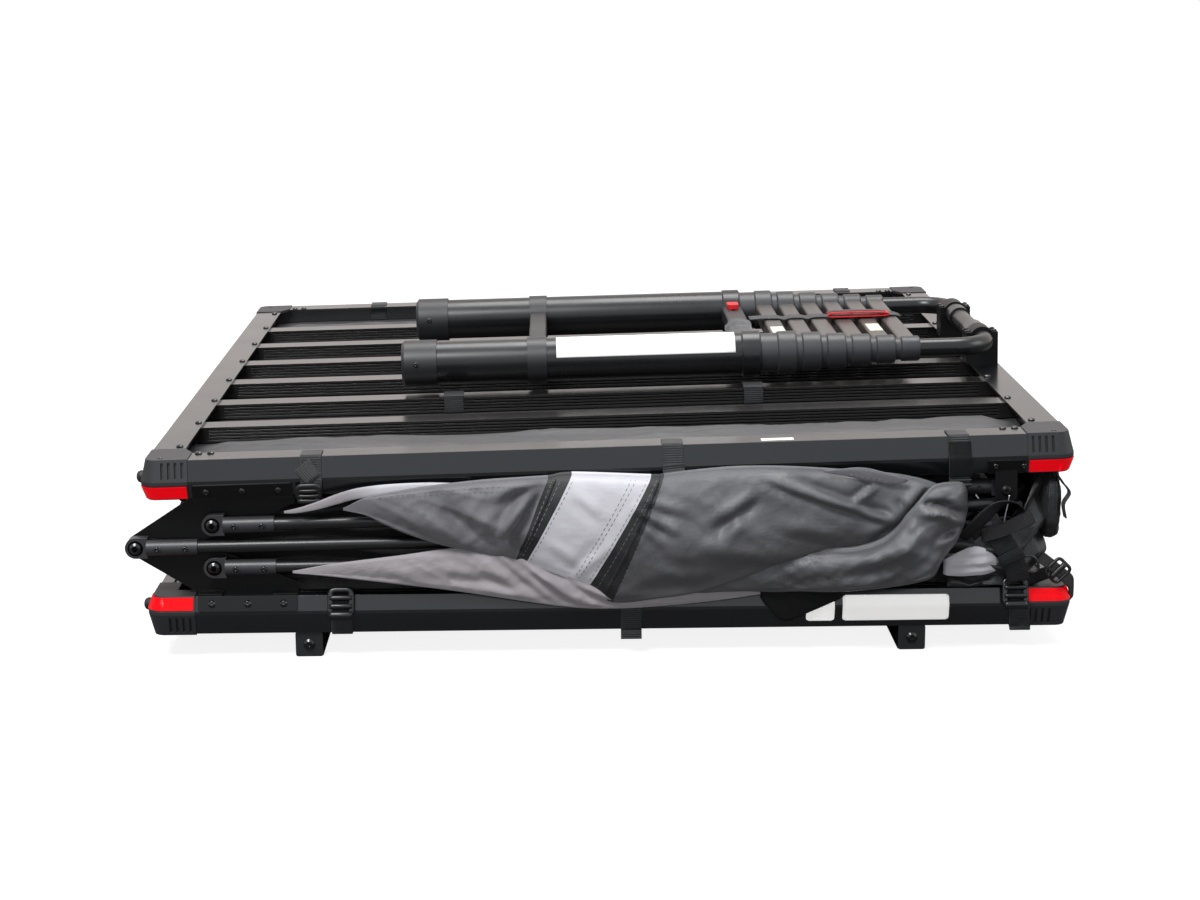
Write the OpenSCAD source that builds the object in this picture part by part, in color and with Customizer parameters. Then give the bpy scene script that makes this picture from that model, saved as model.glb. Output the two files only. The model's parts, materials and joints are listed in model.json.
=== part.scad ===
// Folding roof top tent, closed for travel.
// Two hinged half frames with slatted floors hold a folded canopy on hinged bows.
// A telescopic ladder lies on the upper half, and two rails bolt the lower half to roof bars.
// X runs along the fold, from the hinge end to the free end, Y along the hinge, Z is up.

/* [Half frames] */
// Length of each half frame along the fold, ridge to ridge
panel_len = 1150; // [1060:10:1300]
// Width of each half frame along the hinge, ridge to ridge
panel_wid = 1220; // [1120:10:1400]
// Height of a frame rail
rail_h = 48; // [47:0.5:54]
// Depth of the closed box of a rail, from its ridge
rail_box = 34; // [32:0.5:38]
// Width of the flange lip beyond the rail box
flange_lip = 13; // [12:0.5:16]
// Thickness of the rail walls
rail_wall = 2.5; // [2:0.25:3.5]
// Thickness of the flange that holds the slat ends
flange_t = 3; // [2.5:0.25:4]
// How far the two outer faces of a rail lean in from the ridge
ridge_lean = 7; // [5:0.5:8]
// Height of the ridge above the outer face
ridge_low = 26; // [24:0.5:28]
// Width of the flat on the ridge
ridge_flat = 4; // [3:0.5:5]
// Radius of the bead groove that takes the edge of the canopy
bead_r = 3.5; // [3:0.25:4]

/* [Corner caps] */
// Length of a corner cap along the fold
cap_len = 59; // [56:1:70]
// Length of a corner cap along the hinge
cap_wid = 70; // [64:1:80]
// Plan radius of the corner
corner_r = 20; // [14:1:26]
// How far a cap stands proud of the rails
cap_proud = 1.2; // [0.8:0.1:2]
// Number of slots in the outer face of a cap
slot_count = 4; // [2:1:4]
// Pitch of the slots
slot_pitch = 8.2; // [7:0.1:9]
// Width of a slot
slot_w = 3.2; // [2:0.1:4]
// Depth of a slot
slot_depth = 3; // [2:0.25:4]
// Thickness of the red corner reflectors
reflector_t = 1.2; // [0.8:0.1:2]
// Length of a hinge end bumper beyond the ridge
bumper_out = 11; // [8:0.5:11.5]
// Radius of a hinge end bumper
bumper_r = 8; // [6:0.5:10]

/* [Floor] */
// Number of slats in each half
slat_count = 6; // [5:1:6]
// Pitch of the slats
slat_pitch = 151; // [140:1:160]
// Width of a slat
slat_w = 36; // [30:1:44]
// Height of a slat
slat_h = 20; // [18:0.5:21]
// Wall of a slat
slat_wall = 2; // [1.6:0.1:2.4]
// Thickness of the floor cloth
cloth_t = 1.2; // [0.8:0.1:1.6]
// Rise of the floor cloth between the slats
cloth_rise = 4.5; // [2:0.5:5]
// Thickness of a mattress half
mattress_t = 30; // [24:1:31]

/* [Fold hinge] */
// Gap between the two half frames at the hinge
hinge_gap = 124; // [122:1:140]
// Distance of the hinge axis beyond the ridge of the hinge end
hinge_out = 12; // [12:0.5:16]
// Rise of the upper half over the packed canopy, in degrees
stow_tilt = 1.25; // [0.5:0.05:1.5]
// Thickness of the hinge plates
plate_t = 3; // [2.5:0.25:3.5]
// Radius of the hinge eyes
eye_r = 13; // [11:0.5:13]
// Radius of the hinge and bow pins
pin_r = 5; // [4:0.25:6]
// Distance of the bolted hinge strips from the hinge axis
strip_off = 75; // [72:1:90]
// Length of the bolted hinge strips
strip_len = 123; // [116:1:140]
// Thickness of the bolted hinge strips
strip_t = 2.4; // [2:0.1:3]

/* [Bows] */
// Outside diameter of the bow tubes
bow_d = 16; // [14:0.5:17]
// Wall of the bow tubes
bow_wall = 1.5; // [1:0.1:2]
// Bend radius of the bow corners
bow_bend = 70; // [50:1:100]
// Outside diameter of the bow end sleeves
sleeve_d = 20; // [19:0.5:21]
// Length of the bow end sleeves
sleeve_len = 62; // [50:1:80]
// Radius of the bow end lugs
lug_r = 13; // [11:0.5:13]
// Distance of the outer bow pivots from the hinge axis along the fold
bow_inset = 96; // [90:1:110]
// Height of the outer bow pivots above or below the hinge axis
bow_offset = 26; // [25:0.5:28]
// Distance of the bow cross tubes from the ridge of the free end
bow_end_gap = 50; // [45:1:56]
// Reach of the entrance bow from its pivot
entrance_reach = 550; // [450:10:650]
// Distance of the entrance bow pivots from the corner caps of the free end
entrance_gap = 26; // [25:0.5:31]
// Depth of the entrance bow pivots below the inner face of the frame
entrance_drop = 22; // [21:0.5:23]

/* [Ladder] */
// Spacing of the two ladder sides
ladder_wid = 376; // [340:2:420]
// Height of the ladder axis above the outer face of the frame
ladder_lift = 36; // [36:0.5:44]
// Outside diameter of the top tube
top_tube_d = 26; // [24:0.5:28]
// Outside diameter of the bottom tubes
foot_tube_d = 60; // [58:0.5:62]
// Wall of the ladder tubes
ladder_wall = 1.5; // [1.2:0.1:1.6]
// Spacing of the steps with the ladder pulled out
step_pitch = 300; // [280:5:320]
// Pitch of the collars with the ladder pushed in
collar_pitch = 34.6; // [33:0.1:37]
// Length of a collar
collar_len = 27; // [24:0.5:29]
// How far a collar stands out from its tube
collar_out = 2.2; // [1.5:0.1:2.5]
// Place of the first collar along the fold, from the middle of the frame
first_collar = 196; // [180:1:205]
// Clear length of tube between the first two collars
grip_gap = 23; // [20:1:26]
// Length of tube that stays inside the next one
tube_overlap = 80; // [60:5:100]
// Width of a step
step_w = 25; // [20:0.5:27]
// Height of a step
step_h = 24; // [18:0.5:26]
// Place of the fixed lower step along the fold
fixed_step = -88; // [-100:1:-70]
// Place of the ladder feet along the fold
foot_end = -276; // [-300:1:-260]
// Length of a ladder foot
foot_len = 49; // [40:1:60]
// Bend radius of the top tube
top_bend = 48; // [44:1:52]
// Distance of the ladder pivot from the ridge of the free end
pivot_inset = 30.5; // [29:0.5:33]
// Length of a pivot block along the tube
block_len = 37; // [30:1:40]
// Width of a pivot block
block_w = 45; // [42:0.5:48]
// Distance of the pivot blocks from the middle
block_at = 114; // [105:1:116]

/* [Mounting rails] */
// Height of the mounting rails
foot_h = 32; // [28:0.5:40]
// Width of the mounting rails
foot_w = 34; // [32:0.5:40]
// Distance of the mounting rails from the middle
foot_at = 377; // [300:1:400]
// Width of the mouth of the bolt slot
bolt_mouth = 9; // [8.5:0.25:11]
// Width of the bolt slot behind its mouth
bolt_slot_w = 18; // [16:0.5:20]

/* [Webbing] */
// Width of the webbing straps
strap_w = 26; // [20:1:30]
// Thickness of the webbing
strap_t = 1.4; // [1:0.1:1.8]
// Distance of the upper hinge end straps from the ridge of the hinge end
upper_strap_hinge = 210; // [204:1:230]
// Distance of the upper middle straps from the ridge of the free end
upper_strap_middle = 496; // [460:2:530]
// Distance of the upper free end straps from the ridge of the free end
upper_strap_free = 144; // [136:1:160]
// Distance of the lower hinge end straps from the ridge of the hinge end
lower_strap_hinge = 240; // [220:1:260]
// Distance of the lower middle straps from the ridge of the free end
lower_strap_middle = 550; // [510:2:580]
// Gap between the lower free end straps and the corner caps
lower_strap_gap = 2; // [1:0.5:6]
// Place of the slat loop nearer the hinge end, from the middle of the frame
slat_loop_hinge = -204; // [-240:1:-180]
// Place of the slat loop nearer the free end, from the middle of the frame
slat_loop_free = 209; // [180:1:240]
// Length of the pull loop on the ladder tie strap
pull_len = 85; // [70:1:95]
// Height of the pull loop on the ladder tie strap
pull_h = 7; // [6:0.5:9]
// Distance of the pull loop from the end of the ladder tie strap
pull_in = 20; // [10:1:30]
// Width of a strap buckle
buckle_w = 30; // [28:1:34]
// Height of a strap buckle
buckle_h = 37; // [32:1:40]

/* [Canopy] */
// How far the packed canopy hangs out in front of the frame
canopy_out = 36; // [30:1:50]
// How far the lower fold hangs out behind the upper one
lower_out = 8; // [4:0.5:12]
// How much shorter the lower fold is than the upper one
lower_short = 130; // [100:5:200]
// Depth of the fold waves, as a share of how far the fold hangs out
fold_depth = 0.14; // [0.05:0.01:0.2]

/* [Hidden] */
$fn = 48;

// Clearances: running fit, seat in one body, and room beside soft or curved pieces
run_fit = 0.05;
seat = 0.05;
room = 0.3;
strap_gap = 0.2;

// Finishes
anodised = "#5b544e";
black = "#1d1e20";
plastic = "#26282b";
cloth_grey = "#5a5a5e";
red = "#d01217";

// Places in a half frame, measured from its outer face
half_l = panel_len/2;
half_w = panel_wid/2;
rail_w = rail_box + flange_lip;
half_gap = hinge_gap/2;
pivot_v = rail_h + half_gap;
hinge_x = -half_l - hinge_out;
hinge_z = foot_h + pivot_v;
bow_x = hinge_x + bow_inset;
bow_v = pivot_v - bow_offset;
bow_reach = half_l - bow_end_gap - bow_x;
middle_reach = half_l - bow_end_gap - hinge_x;
entrance_x = half_l - cap_len - entrance_gap;
entrance_v = rail_h + entrance_drop;
// The part is centred on its outline, which ends at the hinge eyes and at the corner caps
shift_x = (hinge_out + eye_r - cap_proud)/2;

// Stack across the hinge, as distances from the middle plane
plate_gap = 0.3;
lower_plate_y = half_w - 24;
upper_plate_y = lower_plate_y - plate_gap - plate_t;
lug_y = lower_plate_y + plate_t + 0.4;
lug_t = 13.2;
bow_y = lug_y + 0.6 + sleeve_d/2;
head_y = lug_y + lug_t + room;
nut_t = 6;
head_t = 4;
tab_t = 3;
tab_y = half_w - ridge_lean + 1;
entrance_lug_t = 12;
entrance_y = bow_y - bow_d/2 - sleeve_d/2 - 1.5;
entrance_lug_y = entrance_y + sleeve_d/2 - entrance_lug_t;
entrance_pin_r = 4;
sleeve_from = lug_r + 2;
sleeve_wall_end = 8;
tube_from = sleeve_from + sleeve_wall_end + 0.2;

// Floor stack
slat_top = flange_t;
slat_end = half_l - rail_box - seat;
plug_len = 22;
slat_len = slat_end - plug_len;
cloth_v = slat_top + slat_h + 3;
mattress_v = cloth_v + cloth_t + room;
mattress_top = mattress_v + mattress_t;
mattress_side = room;
slat_first = -slat_pitch*(slat_count - 1)/2;

// Ladder
stage_count = 7;
top_r = top_tube_d/2;
stage_step = (foot_tube_d/2 - top_r)/stage_count;
pivot_x = half_l - pivot_inset;
ladder_y = ladder_wid/2;
function tube_r(k) = foot_tube_d/2 - (k - 1)*stage_step;
function collar_r(k) = tube_r(k) + collar_out;
function collar_x(k) = k == 1 ? first_collar : first_collar + collar_len + grip_gap + (k - 2)*collar_pitch;
function tube_len(k) = step_pitch + tube_overlap;
// Caps of the pivot blocks: height of the shoulder, radius of the crown and its half width at the shoulder
shoulder = 10;
crown = top_r + 5;
crown_half = sqrt(crown*crown - shoulder*shoulder);
button_travel = 10;
button_len = 30;
button_w = 17;
button_h = 7;
stem_w = 6;
stem_d = 5;
button_at = ladder_y - collar_r(1) - button_len/2 - 3;
step_1_w = 30;

// Faces of a rail
face_low = atan(ridge_lean/ridge_low);
face_high_h = rail_h - ridge_low - ridge_flat;
face_high = atan(ridge_lean/face_high_h);
face_high_len = norm([ridge_lean, face_high_h]);

// Strap places along the fold
upper_strap_x = [-half_l + upper_strap_hinge, half_l - upper_strap_middle, half_l - upper_strap_free];
lower_strap_end = half_l - cap_len - lower_strap_gap - strap_w/2;
lower_strap_x = [-half_l + lower_strap_hinge, half_l - lower_strap_middle, lower_strap_end];
slat_strap_x = [slat_loop_hinge, slat_loop_free];

// Outline of a rail or of a sleeve around it, standing proud by p, closed at depth inner
function rim(inner, p) = [
    [inner, -p], [ridge_lean - p, -p], [-p, ridge_low], [-p, ridge_low + ridge_flat],
    [ridge_lean - p, rail_h + p], [inner, rail_h + p]
];
// The same outline turned about a corner of plan radius r
function turned(points, r) = [for (p = points) [r - p.x, p.y]];
// Hollow of a rail with wall w
function rail_hollow(w) = [
    [rail_box - w, w], [ridge_lean + w, w], [w, ridge_low], [w, ridge_low + ridge_flat],
    [ridge_lean + w, rail_h - w], [rail_box - w, rail_h - w]
];
// Point on the inner leaning face of a cap, a share t along it and n out from it
function on_face(t, n) =
    let (a = [-cap_proud, ridge_low + ridge_flat], b = [ridge_lean - cap_proud, rail_h + cap_proud])
    let (d = (b - a)/norm(b - a))
    a + t*(b - a) + n*[-d.y, d.x];
// Where a line from point a touches the circle of radius r about p
function tangent(p, a, r, side) =
    let (d = a - p, turn = atan2(d.y, d.x) + side*acos(r/norm(d)))
    p + r*[cos(turn), sin(turn)];

// Both ends or both sides of a half
module both_sides() for (s = [0, 1]) mirror([0, s, 0]) children();
module both_ends() for (s = [0, 1]) mirror([s, 0, 0]) children();

// Place of the lower half and of the upper half, which is its mirror image turned about the hinge
module lower_place() translate([shift_x, 0, foot_h]) children();
module upper_place() {
    translate([shift_x + hinge_x, 0, hinge_z])
        rotate([0, -stow_tilt, 0])
            mirror([0, 0, 1])
                translate([-hinge_x, 0, -pivot_v])
                    children();
}
// Places of the bows in a half, opened by their share of the tilt
module outer_bow_place() translate([bow_x, 0, bow_v]) rotate([0, -stow_tilt/4, 0]) children();
module middle_bow_place() translate([hinge_x, 0, pivot_v]) rotate([0, -stow_tilt/2, 0]) children();
module entrance_bow_place() translate([entrance_x, 0, entrance_v]) mirror([1, 0, 0]) children();
// Place of the ladder on the outer face, with the pivot axis at the origin
module ladder_place() upper_place() translate([0, 0, -ladder_lift]) children();

// Lay a profile along X, with its x across and its y up
module along_x(from, to) translate([from, 0, 0]) rotate([90, 0, 90]) linear_extrude(to - from) children();
// Lay a profile along Y, with its x along X and its y up
module along_y(from, to) translate([0, to, 0]) rotate([90, 0, 0]) linear_extrude(to - from) children();
// Round bar along Y or along X
module bar_y(from, to, r) translate([0, from, 0]) rotate([-90, 0, 0]) cylinder(h = to - from, r = r);
module bar_x(from, to, r) translate([from, 0, 0]) rotate([0, 90, 0]) cylinder(h = to - from, r = r);

module round_rect(w, h, r) {
    translate([r, 0]) square([w - 2*r, h]);
    translate([0, r]) square([w, h - 2*r]);
    for (x = [r, w - r], y = [r, h - r]) translate([x, y]) circle(r);
}

module ring(r, wall) {
    difference() {
        circle(r);
        circle(r - wall);
    }
}

// Low domed screw head with a socket, seated at the origin and standing up along Z
module screw_head(r, h) {
    difference() {
        union() {
            cylinder(h = h*0.45, r = r);
            translate([0, 0, h*0.45]) cylinder(h = h*0.55, r1 = r, r2 = r*0.6);
        }
        translate([0, 0, h*0.4]) cylinder(h = h, r = r*0.32, $fn = 6);
    }
}

// Rails of a half frame
module rail_section() {
    bead = [rail_box - bead_r - rail_wall - 4, rail_h - bead_r - 1.5];
    difference() {
        union() {
            difference() {
                polygon(rim(rail_box, 0));
                polygon(rail_hollow(rail_wall));
            }
            translate([ridge_lean, 0]) square([rail_w - ridge_lean, flange_t]);
            translate(bead) circle(bead_r + 1.5);
        }
        translate(bead) circle(bead_r);
        translate([bead.x - bead_r/2, bead.y]) square([bead_r, bead_r + rail_wall]);
    }
}

module half_side_rails() {
    both_sides()
        translate([0, -half_w, 0])
            along_x(-half_l + cap_len, half_l - cap_len)
                rail_section();
}

module half_end_rails() {
    both_ends()
        translate([-half_l, 0, 0])
            along_y(-half_w + cap_wid, half_w - cap_wid)
                rail_section();
}

// Profile swept round one corner: two straight legs and a quarter turn
module corner_sweep(leg, bend, len_x, len_y) {
    along_x(corner_r, len_x) polygon(leg);
    along_y(corner_r, len_y) polygon(leg);
    translate([corner_r, corner_r, 0])
        rotate([0, 0, 180])
            rotate_extrude(angle = 90)
                polygon(turned(bend, corner_r));
}

module corner_cap() {
    spigot_w = rail_box - ridge_lean - 3*rail_wall;
    spigot_h = ridge_low - rail_wall;
    spigot_v = max(rail_wall, flange_t) + seat;
    spigot_len = 24;
    difference() {
        union() {
            corner_sweep(rim(rail_box, cap_proud), rim(corner_r, cap_proud), cap_len, cap_wid);
            // Gusset between the two flange lips
            translate([0, 0, -cap_proud])
                linear_extrude(flange_t + cap_proud)
                    polygon([
                        [rail_box - 1, rail_box - 1], [cap_len, rail_box - 1], [cap_len, rail_w],
                        [rail_w, cap_wid], [rail_box - 1, cap_wid]
                    ]);
            // Spigots that plug into the rails
            along_x(cap_len - 1, cap_len + spigot_len)
                translate([rail_box - rail_wall - seat - spigot_w, spigot_v])
                    square([spigot_w, spigot_h]);
            along_y(cap_wid - 1, cap_wid + spigot_len)
                translate([rail_box - rail_wall - seat - spigot_w, spigot_v])
                    square([spigot_w, spigot_h]);
        }
        for (i = [0:slot_count - 1])
            translate([cap_len - 6.4 - i*slot_pitch - slot_w/2, ridge_lean - cap_proud, 0])
                rotate([face_low, 0, 0])
                    translate([0, -slot_depth, slot_depth])
                        cube([slot_w, 2*slot_depth, ridge_low - 2*slot_depth]);
    }
}

module at_corners() both_ends() both_sides() translate([-half_l, -half_w, 0]) children();

module half_corner_caps() at_corners() corner_cap();

module half_reflectors() {
    strip = [on_face(0.1, seat), on_face(0.9, seat), on_face(0.9, reflector_t), on_face(0.1, reflector_t)];
    at_corners() corner_sweep(strip, strip, cap_len - 2, corner_r + 8);
}

// Rubber bumpers on the caps of the hinge end, which meet when the tent is open
module half_bumpers() {
    bumper_at = 48;
    both_sides()
        translate([-half_l, -half_w + bumper_at, ridge_low + ridge_flat/2])
            difference() {
                rotate([0, -90, 0])
                    rotate_extrude()
                        polygon([
                            [0, -ridge_lean], [bumper_r, -ridge_lean], [bumper_r, bumper_out - 5],
                            [bumper_r*0.8, bumper_out - 1.5], [bumper_r*0.45, bumper_out], [0, bumper_out]
                        ]);
                translate([0, 0, -ridge_low - ridge_flat/2])
                    along_y(-2*bumper_r, 2*bumper_r)
                        polygon(rim(rail_box, cap_proud + seat));
            }
}

// Slats with grooved sides, and their end plugs under the flanges
module slat_section() {
    grooves = 4;
    groove_w = slat_h/(3*grooves);
    difference() {
        square([slat_w, slat_h]);
        translate([slat_wall + 1.2, slat_wall]) square([slat_w - 2*slat_wall - 2.4, slat_h - 2*slat_wall]);
        for (i = [1:grooves], x = [-1, slat_w - 1.2])
            translate([x, i*slat_h/(grooves + 1) - groove_w/2]) square([2.2, groove_w]);
    }
}

module half_slats() {
    for (i = [0:slat_count - 1]) translate([0, slat_first + i*slat_pitch - slat_w/2, slat_top]) {
        along_x(-slat_len, slat_len) slat_section();
        both_ends() {
            along_x(slat_len + seat, slat_end) square([slat_w, slat_h]);
            along_x(slat_len - 20, slat_len + seat + 1)
                translate([slat_wall + 1.2 + seat, slat_wall + seat])
                    square([slat_w - 2*slat_wall - 2.4 - 2*seat, slat_h - 2*slat_wall - 2*seat]);
        }
    }
}

// Floor cloth under the slats, risen between them
module half_floor_cloth() {
    edge = half_w - rail_box - mattress_side;
    steps = 80;
    ys = [for (i = [0:steps]) -edge + 2*edge*i/steps];
    function sag(y) = cloth_v - cloth_rise*pow(sin(180*(y - slat_first)/slat_pitch), 2);
    rotate([90, 0, 90])
        translate([0, 0, -slat_end + 1])
            linear_extrude(2*slat_end - 2)
                polygon(concat([for (y = ys) [y, sag(y)]], [for (i = [steps:-1:0]) [ys[i], sag(ys[i]) + cloth_t]]));
}

module half_mattress() {
    l = 2*(half_l - rail_box - mattress_side);
    w = 2*(half_w - rail_box - mattress_side);
    translate([-l/2, -w/2, mattress_v])
        linear_extrude(mattress_t)
            round_rect(l, w, 30);
}

// Hinge plate of the near side: bolted strip, two tabs over the rail and the plate with its eye
module hinge_plate(plane_y) {
    base_x = hinge_x + strip_off;
    eye = [hinge_x, pivot_v];
    foot_a = [base_x, rail_h];
    foot_b = [base_x + strip_len, rail_h];
    neck = [bow_x + lug_r + 4, bow_v + lug_r + 2];
    tab_len = 30;
    edge_y = -half_w + ridge_lean;
    translate([base_x, edge_y, rail_h])
        rotate([-face_high, 0, 0])
            rotate([90, 0, 0])
                linear_extrude(strip_t)
                    translate([0, -face_high_len]) round_rect(strip_len, face_high_len, 3);
    for (x = [base_x, base_x + strip_len - tab_len])
        translate([x, edge_y - 1, rail_h])
            cube([tab_len, -plane_y - edge_y + 1, plate_t]);
    difference() {
        along_y(-plane_y - plate_t, -plane_y) {
            translate(eye) circle(eye_r);
            polygon([
                foot_a, foot_b, foot_b + [0, 14], neck,
                tangent(eye, neck, eye_r, 1), tangent(eye, foot_a, eye_r, -1)
            ]);
        }
        translate([eye.x, 0, eye.y]) bar_y(-half_w, 0, pin_r + run_fit);
        translate([bow_x, 0, bow_v]) bar_y(-half_w, 0, pin_r + run_fit);
    }
}

module half_hinge_plates(plane_y) both_sides() hinge_plate(plane_y);

// Pivot bolt across a plate and a lug, with its head outside and its nut inside
module pivot_bolt(nut_y, spacer_y) {
    bar_y(-head_y - head_t*0.6, -nut_y + nut_t, pin_r);
    translate([0, -head_y, 0]) rotate([90, 0, 0]) screw_head(pin_r + 2.4, head_t);
    translate([0, -nut_y, 0]) rotate([-90, 0, 0]) cylinder(h = nut_t, r = pin_r + 3, $fn = 6);
    if (spacer_y > 0) bar_y(-lug_y + 0.2, -spacer_y, pin_r + 3);
}

module bow_bolts(plane_y, spacer_y) {
    both_sides() translate([bow_x, 0, bow_v]) pivot_bolt(plane_y - 0.2, spacer_y);
}

// Screws of a half: slat ends, corners and hinge strips
module half_screws() {
    head_r = 4.5;
    head_h = 2.5;
    both_ends() for (i = [0:slat_count - 1])
        translate([half_l - rail_box - flange_lip/2, slat_first + i*slat_pitch, -seat])
            rotate([180, 0, 0]) screw_head(head_r, head_h);
    at_corners() {
        for (i = [0, 1]) translate([cap_len + 9 + 15*i, rail_w - 5, -seat]) rotate([180, 0, 0]) screw_head(head_r, head_h);
        translate([rail_w - 9, cap_wid + 17, -seat]) rotate([180, 0, 0]) screw_head(head_r, head_h);
        translate([corner_r + 4, corner_r - 2, -cap_proud - seat]) rotate([180, 0, 0]) screw_head(3.2, 1);
    }
    both_sides() for (i = [-1:1])
        translate([hinge_x + strip_off + strip_len/2 + i*strip_len*0.36, -half_w + ridge_lean, rail_h])
            rotate([-face_high, 0, 0])
                translate([0, -strip_t - seat, -face_high_len/2])
                    rotate([90, 0, 0]) screw_head(head_r, head_h);
}

// Webbing round the side rails, and the buckles on it
module strap_section(g) {
    difference() {
        polygon(rim(rail_box - 4, g + strap_t));
        polygon(rim(rail_box - 3, g));
    }
}

module half_straps(places) {
    both_sides() for (x = places)
        translate([0, -half_w, 0]) along_x(x - strap_w/2, x + strap_w/2) strap_section(strap_gap);
}

module slat_loops() {
    near_slat = slat_first + slat_pitch;
    for (x = slat_strap_x)
        translate([0, near_slat, slat_top + slat_h/2])
            along_x(x - strap_w/2, x + strap_w/2)
                difference() {
                    square([slat_w + 2*seat + 2*strap_t, slat_h + 2*seat + 2*strap_t], center = true);
                    square([slat_w + 2*seat, slat_h + 2*seat], center = true);
                }
}

module buckle() {
    bar = 5;
    window = (buckle_h - 4*bar)/3;
    linear_extrude(4)
        difference() {
            translate([-buckle_w/2, 0]) round_rect(buckle_w, buckle_h, 4);
            for (i = [0:2])
                translate([-buckle_w/2 + 3.5, bar + i*(bar + window)]) square([buckle_w - 7, window]);
        }
}

// Buckles lie on the inner leaning face, over the webbing
module half_buckles(places) {
    both_sides() for (x = places)
        translate([x, -half_w + ridge_lean, rail_h])
            rotate([-face_high, 0, 0])
                translate([0, -1.3*(strap_gap + strap_t) - room, -face_high_len + 4])
                    rotate([90, 0, 0]) buckle();
}

// Mounting rails with a bolt slot along the underside
module mount_rail_section() {
    wall = 3;
    slot_h = 9;
    difference() {
        translate([-foot_w/2, 0]) square([foot_w, foot_h]);
        translate([-bolt_mouth/2, -1]) square([bolt_mouth, wall + 2]);
        translate([-bolt_slot_w/2, wall]) square([bolt_slot_w, slot_h]);
        translate([-foot_w/2 + wall, 2*wall + slot_h]) square([foot_w - 2*wall, foot_h - 3*wall - slot_h]);
    }
}

mount_end = half_w - 14;
mount_cap_t = 4;

module mount_rails() {
    color(black) translate([shift_x, 0, 0])
        for (x = [-foot_at, foot_at]) translate([x, 0, 0]) along_y(-mount_end, mount_end) mount_rail_section();
}

module mount_rail_caps() {
    color(plastic) translate([shift_x, 0, 0]) both_sides()
        for (x = [-foot_at, foot_at])
            translate([x, -mount_end - seat, 0]) along_y(-mount_cap_t, 0)
                translate([-foot_w/2, 0]) round_rect(foot_w, foot_h, 3);
}

module mount_bolts() {
    both_sides() for (x = [-foot_at, foot_at])
        translate([x, -mount_end - mount_cap_t - 2*seat, -foot_h/2]) rotate([90, 0, 0]) screw_head(7, 4);
}

// Fold hinge pins through both hinge plates and the middle bow
module hinge_pins() {
    color(black) lower_place() both_sides()
        translate([hinge_x, 0, pivot_v]) pivot_bolt(upper_plate_y - 0.2, 0);
}

// U shaped bow: two legs, two bends and a cross tube
module bow_tube(from, reach, y, bend, r, wall) {
    both_sides() {
        translate([from, -y, 0]) rotate([0, 90, 0]) linear_extrude(reach - bend - from) ring(r, wall);
        translate([reach - bend, -y + bend, 0])
            rotate([0, 0, -90]) rotate_extrude(angle = 90) translate([bend, 0]) ring(r, wall);
    }
    translate([reach, -y + bend, 0]) rotate([-90, 0, 0]) linear_extrude(2*(y - bend)) ring(r, wall);
}

// Bow end: lug of radius r about the pivot and sleeve on the tube
module bow_end(r, lug_from, thick, axis_y, hole_r) {
    difference() {
        union() {
            along_y(-lug_from - thick, -lug_from) {
                circle(r);
                translate([0, -r]) square([sleeve_from, 2*r]);
            }
            translate([0, -axis_y, 0]) bar_x(sleeve_from - 1, sleeve_from + sleeve_len, sleeve_d/2);
            for (i = [0.25, 0.8])
                translate([sleeve_from + i*sleeve_len, -axis_y - sleeve_d/2 + 0.6, 0])
                    rotate([90, 0, 0]) cylinder(h = 1.8, r1 = 3, r2 = 2.2);
        }
        bar_y(-half_w, 0, hole_r);
        translate([0, -axis_y, 0]) bar_x(sleeve_from + sleeve_wall_end, sleeve_from + sleeve_len + 1, bow_d/2 + seat);
    }
}

module main_bow_end() both_sides() bow_end(lug_r, lug_y, lug_t, bow_y, pin_r + run_fit);
module main_bow_tube(reach) bow_tube(tube_from, reach, bow_y, bow_bend, bow_d/2, bow_wall);

module lower_bow() color(black) lower_place() outer_bow_place() main_bow_tube(bow_reach);
module lower_bow_ends() color(plastic) lower_place() outer_bow_place() main_bow_end();
module middle_bow() color(black) lower_place() middle_bow_place() main_bow_tube(middle_reach);
module middle_bow_ends() color(plastic) lower_place() middle_bow_place() main_bow_end();
module upper_bow() color(black) upper_place() outer_bow_place() main_bow_tube(bow_reach);
module upper_bow_ends() color(plastic) upper_place() outer_bow_place() main_bow_end();

module entrance_bow() {
    color(black) upper_place() entrance_bow_place()
        bow_tube(tube_from, entrance_reach, entrance_y, bow_bend, bow_d/2, bow_wall);
}

module entrance_bow_ends() {
    color(plastic) upper_place() entrance_bow_place()
        both_sides() bow_end(sleeve_d/2, entrance_lug_y, entrance_lug_t, entrance_y, entrance_pin_r + run_fit);
}

// Entrance brackets: bolted strip, hanging tab and the pivot bolt with its spacer
module entrance_brackets() {
    strip_l = 47;
    tab_w = 27;
    tab_top = 5;
    tab_h = entrance_drop + tab_w/2 + tab_top;
    color(black) upper_place() both_sides() {
        translate([entrance_x - strip_l/2, -half_w + ridge_lean, rail_h])
            rotate([-face_high, 0, 0])
                rotate([90, 0, 0])
                    linear_extrude(strip_t) translate([0, -face_high_len]) round_rect(strip_l, face_high_len, 2);
        difference() {
            translate([entrance_x, 0, rail_h - tab_top])
                along_y(-tab_y - tab_t, -tab_y) translate([-tab_w/2, 0]) round_rect(tab_w, tab_h, 5);
            translate([0, -half_w, 0]) along_x(0, half_l) polygon(rim(rail_box, 0));
            translate([entrance_x, 0, entrance_v]) bar_y(-half_w, 0, entrance_pin_r + seat);
        }
        translate([entrance_x, 0, entrance_v]) {
            bar_y(-tab_y - tab_t - 2, -entrance_lug_y + 1, entrance_pin_r);
            bar_y(-tab_y + seat, -entrance_lug_y - entrance_lug_t - room, entrance_pin_r + 1.5);
            translate([0, -tab_y - tab_t - seat, 0]) rotate([90, 0, 0]) screw_head(entrance_pin_r + 2.5, head_t);
        }
    }
}

// Split pivot blocks of the ladder on the rail of the free end
module block_pair() {
    both_sides() translate([pivot_x, block_at, 0]) along_y(-block_len/2, block_len/2) children();
}

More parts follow.
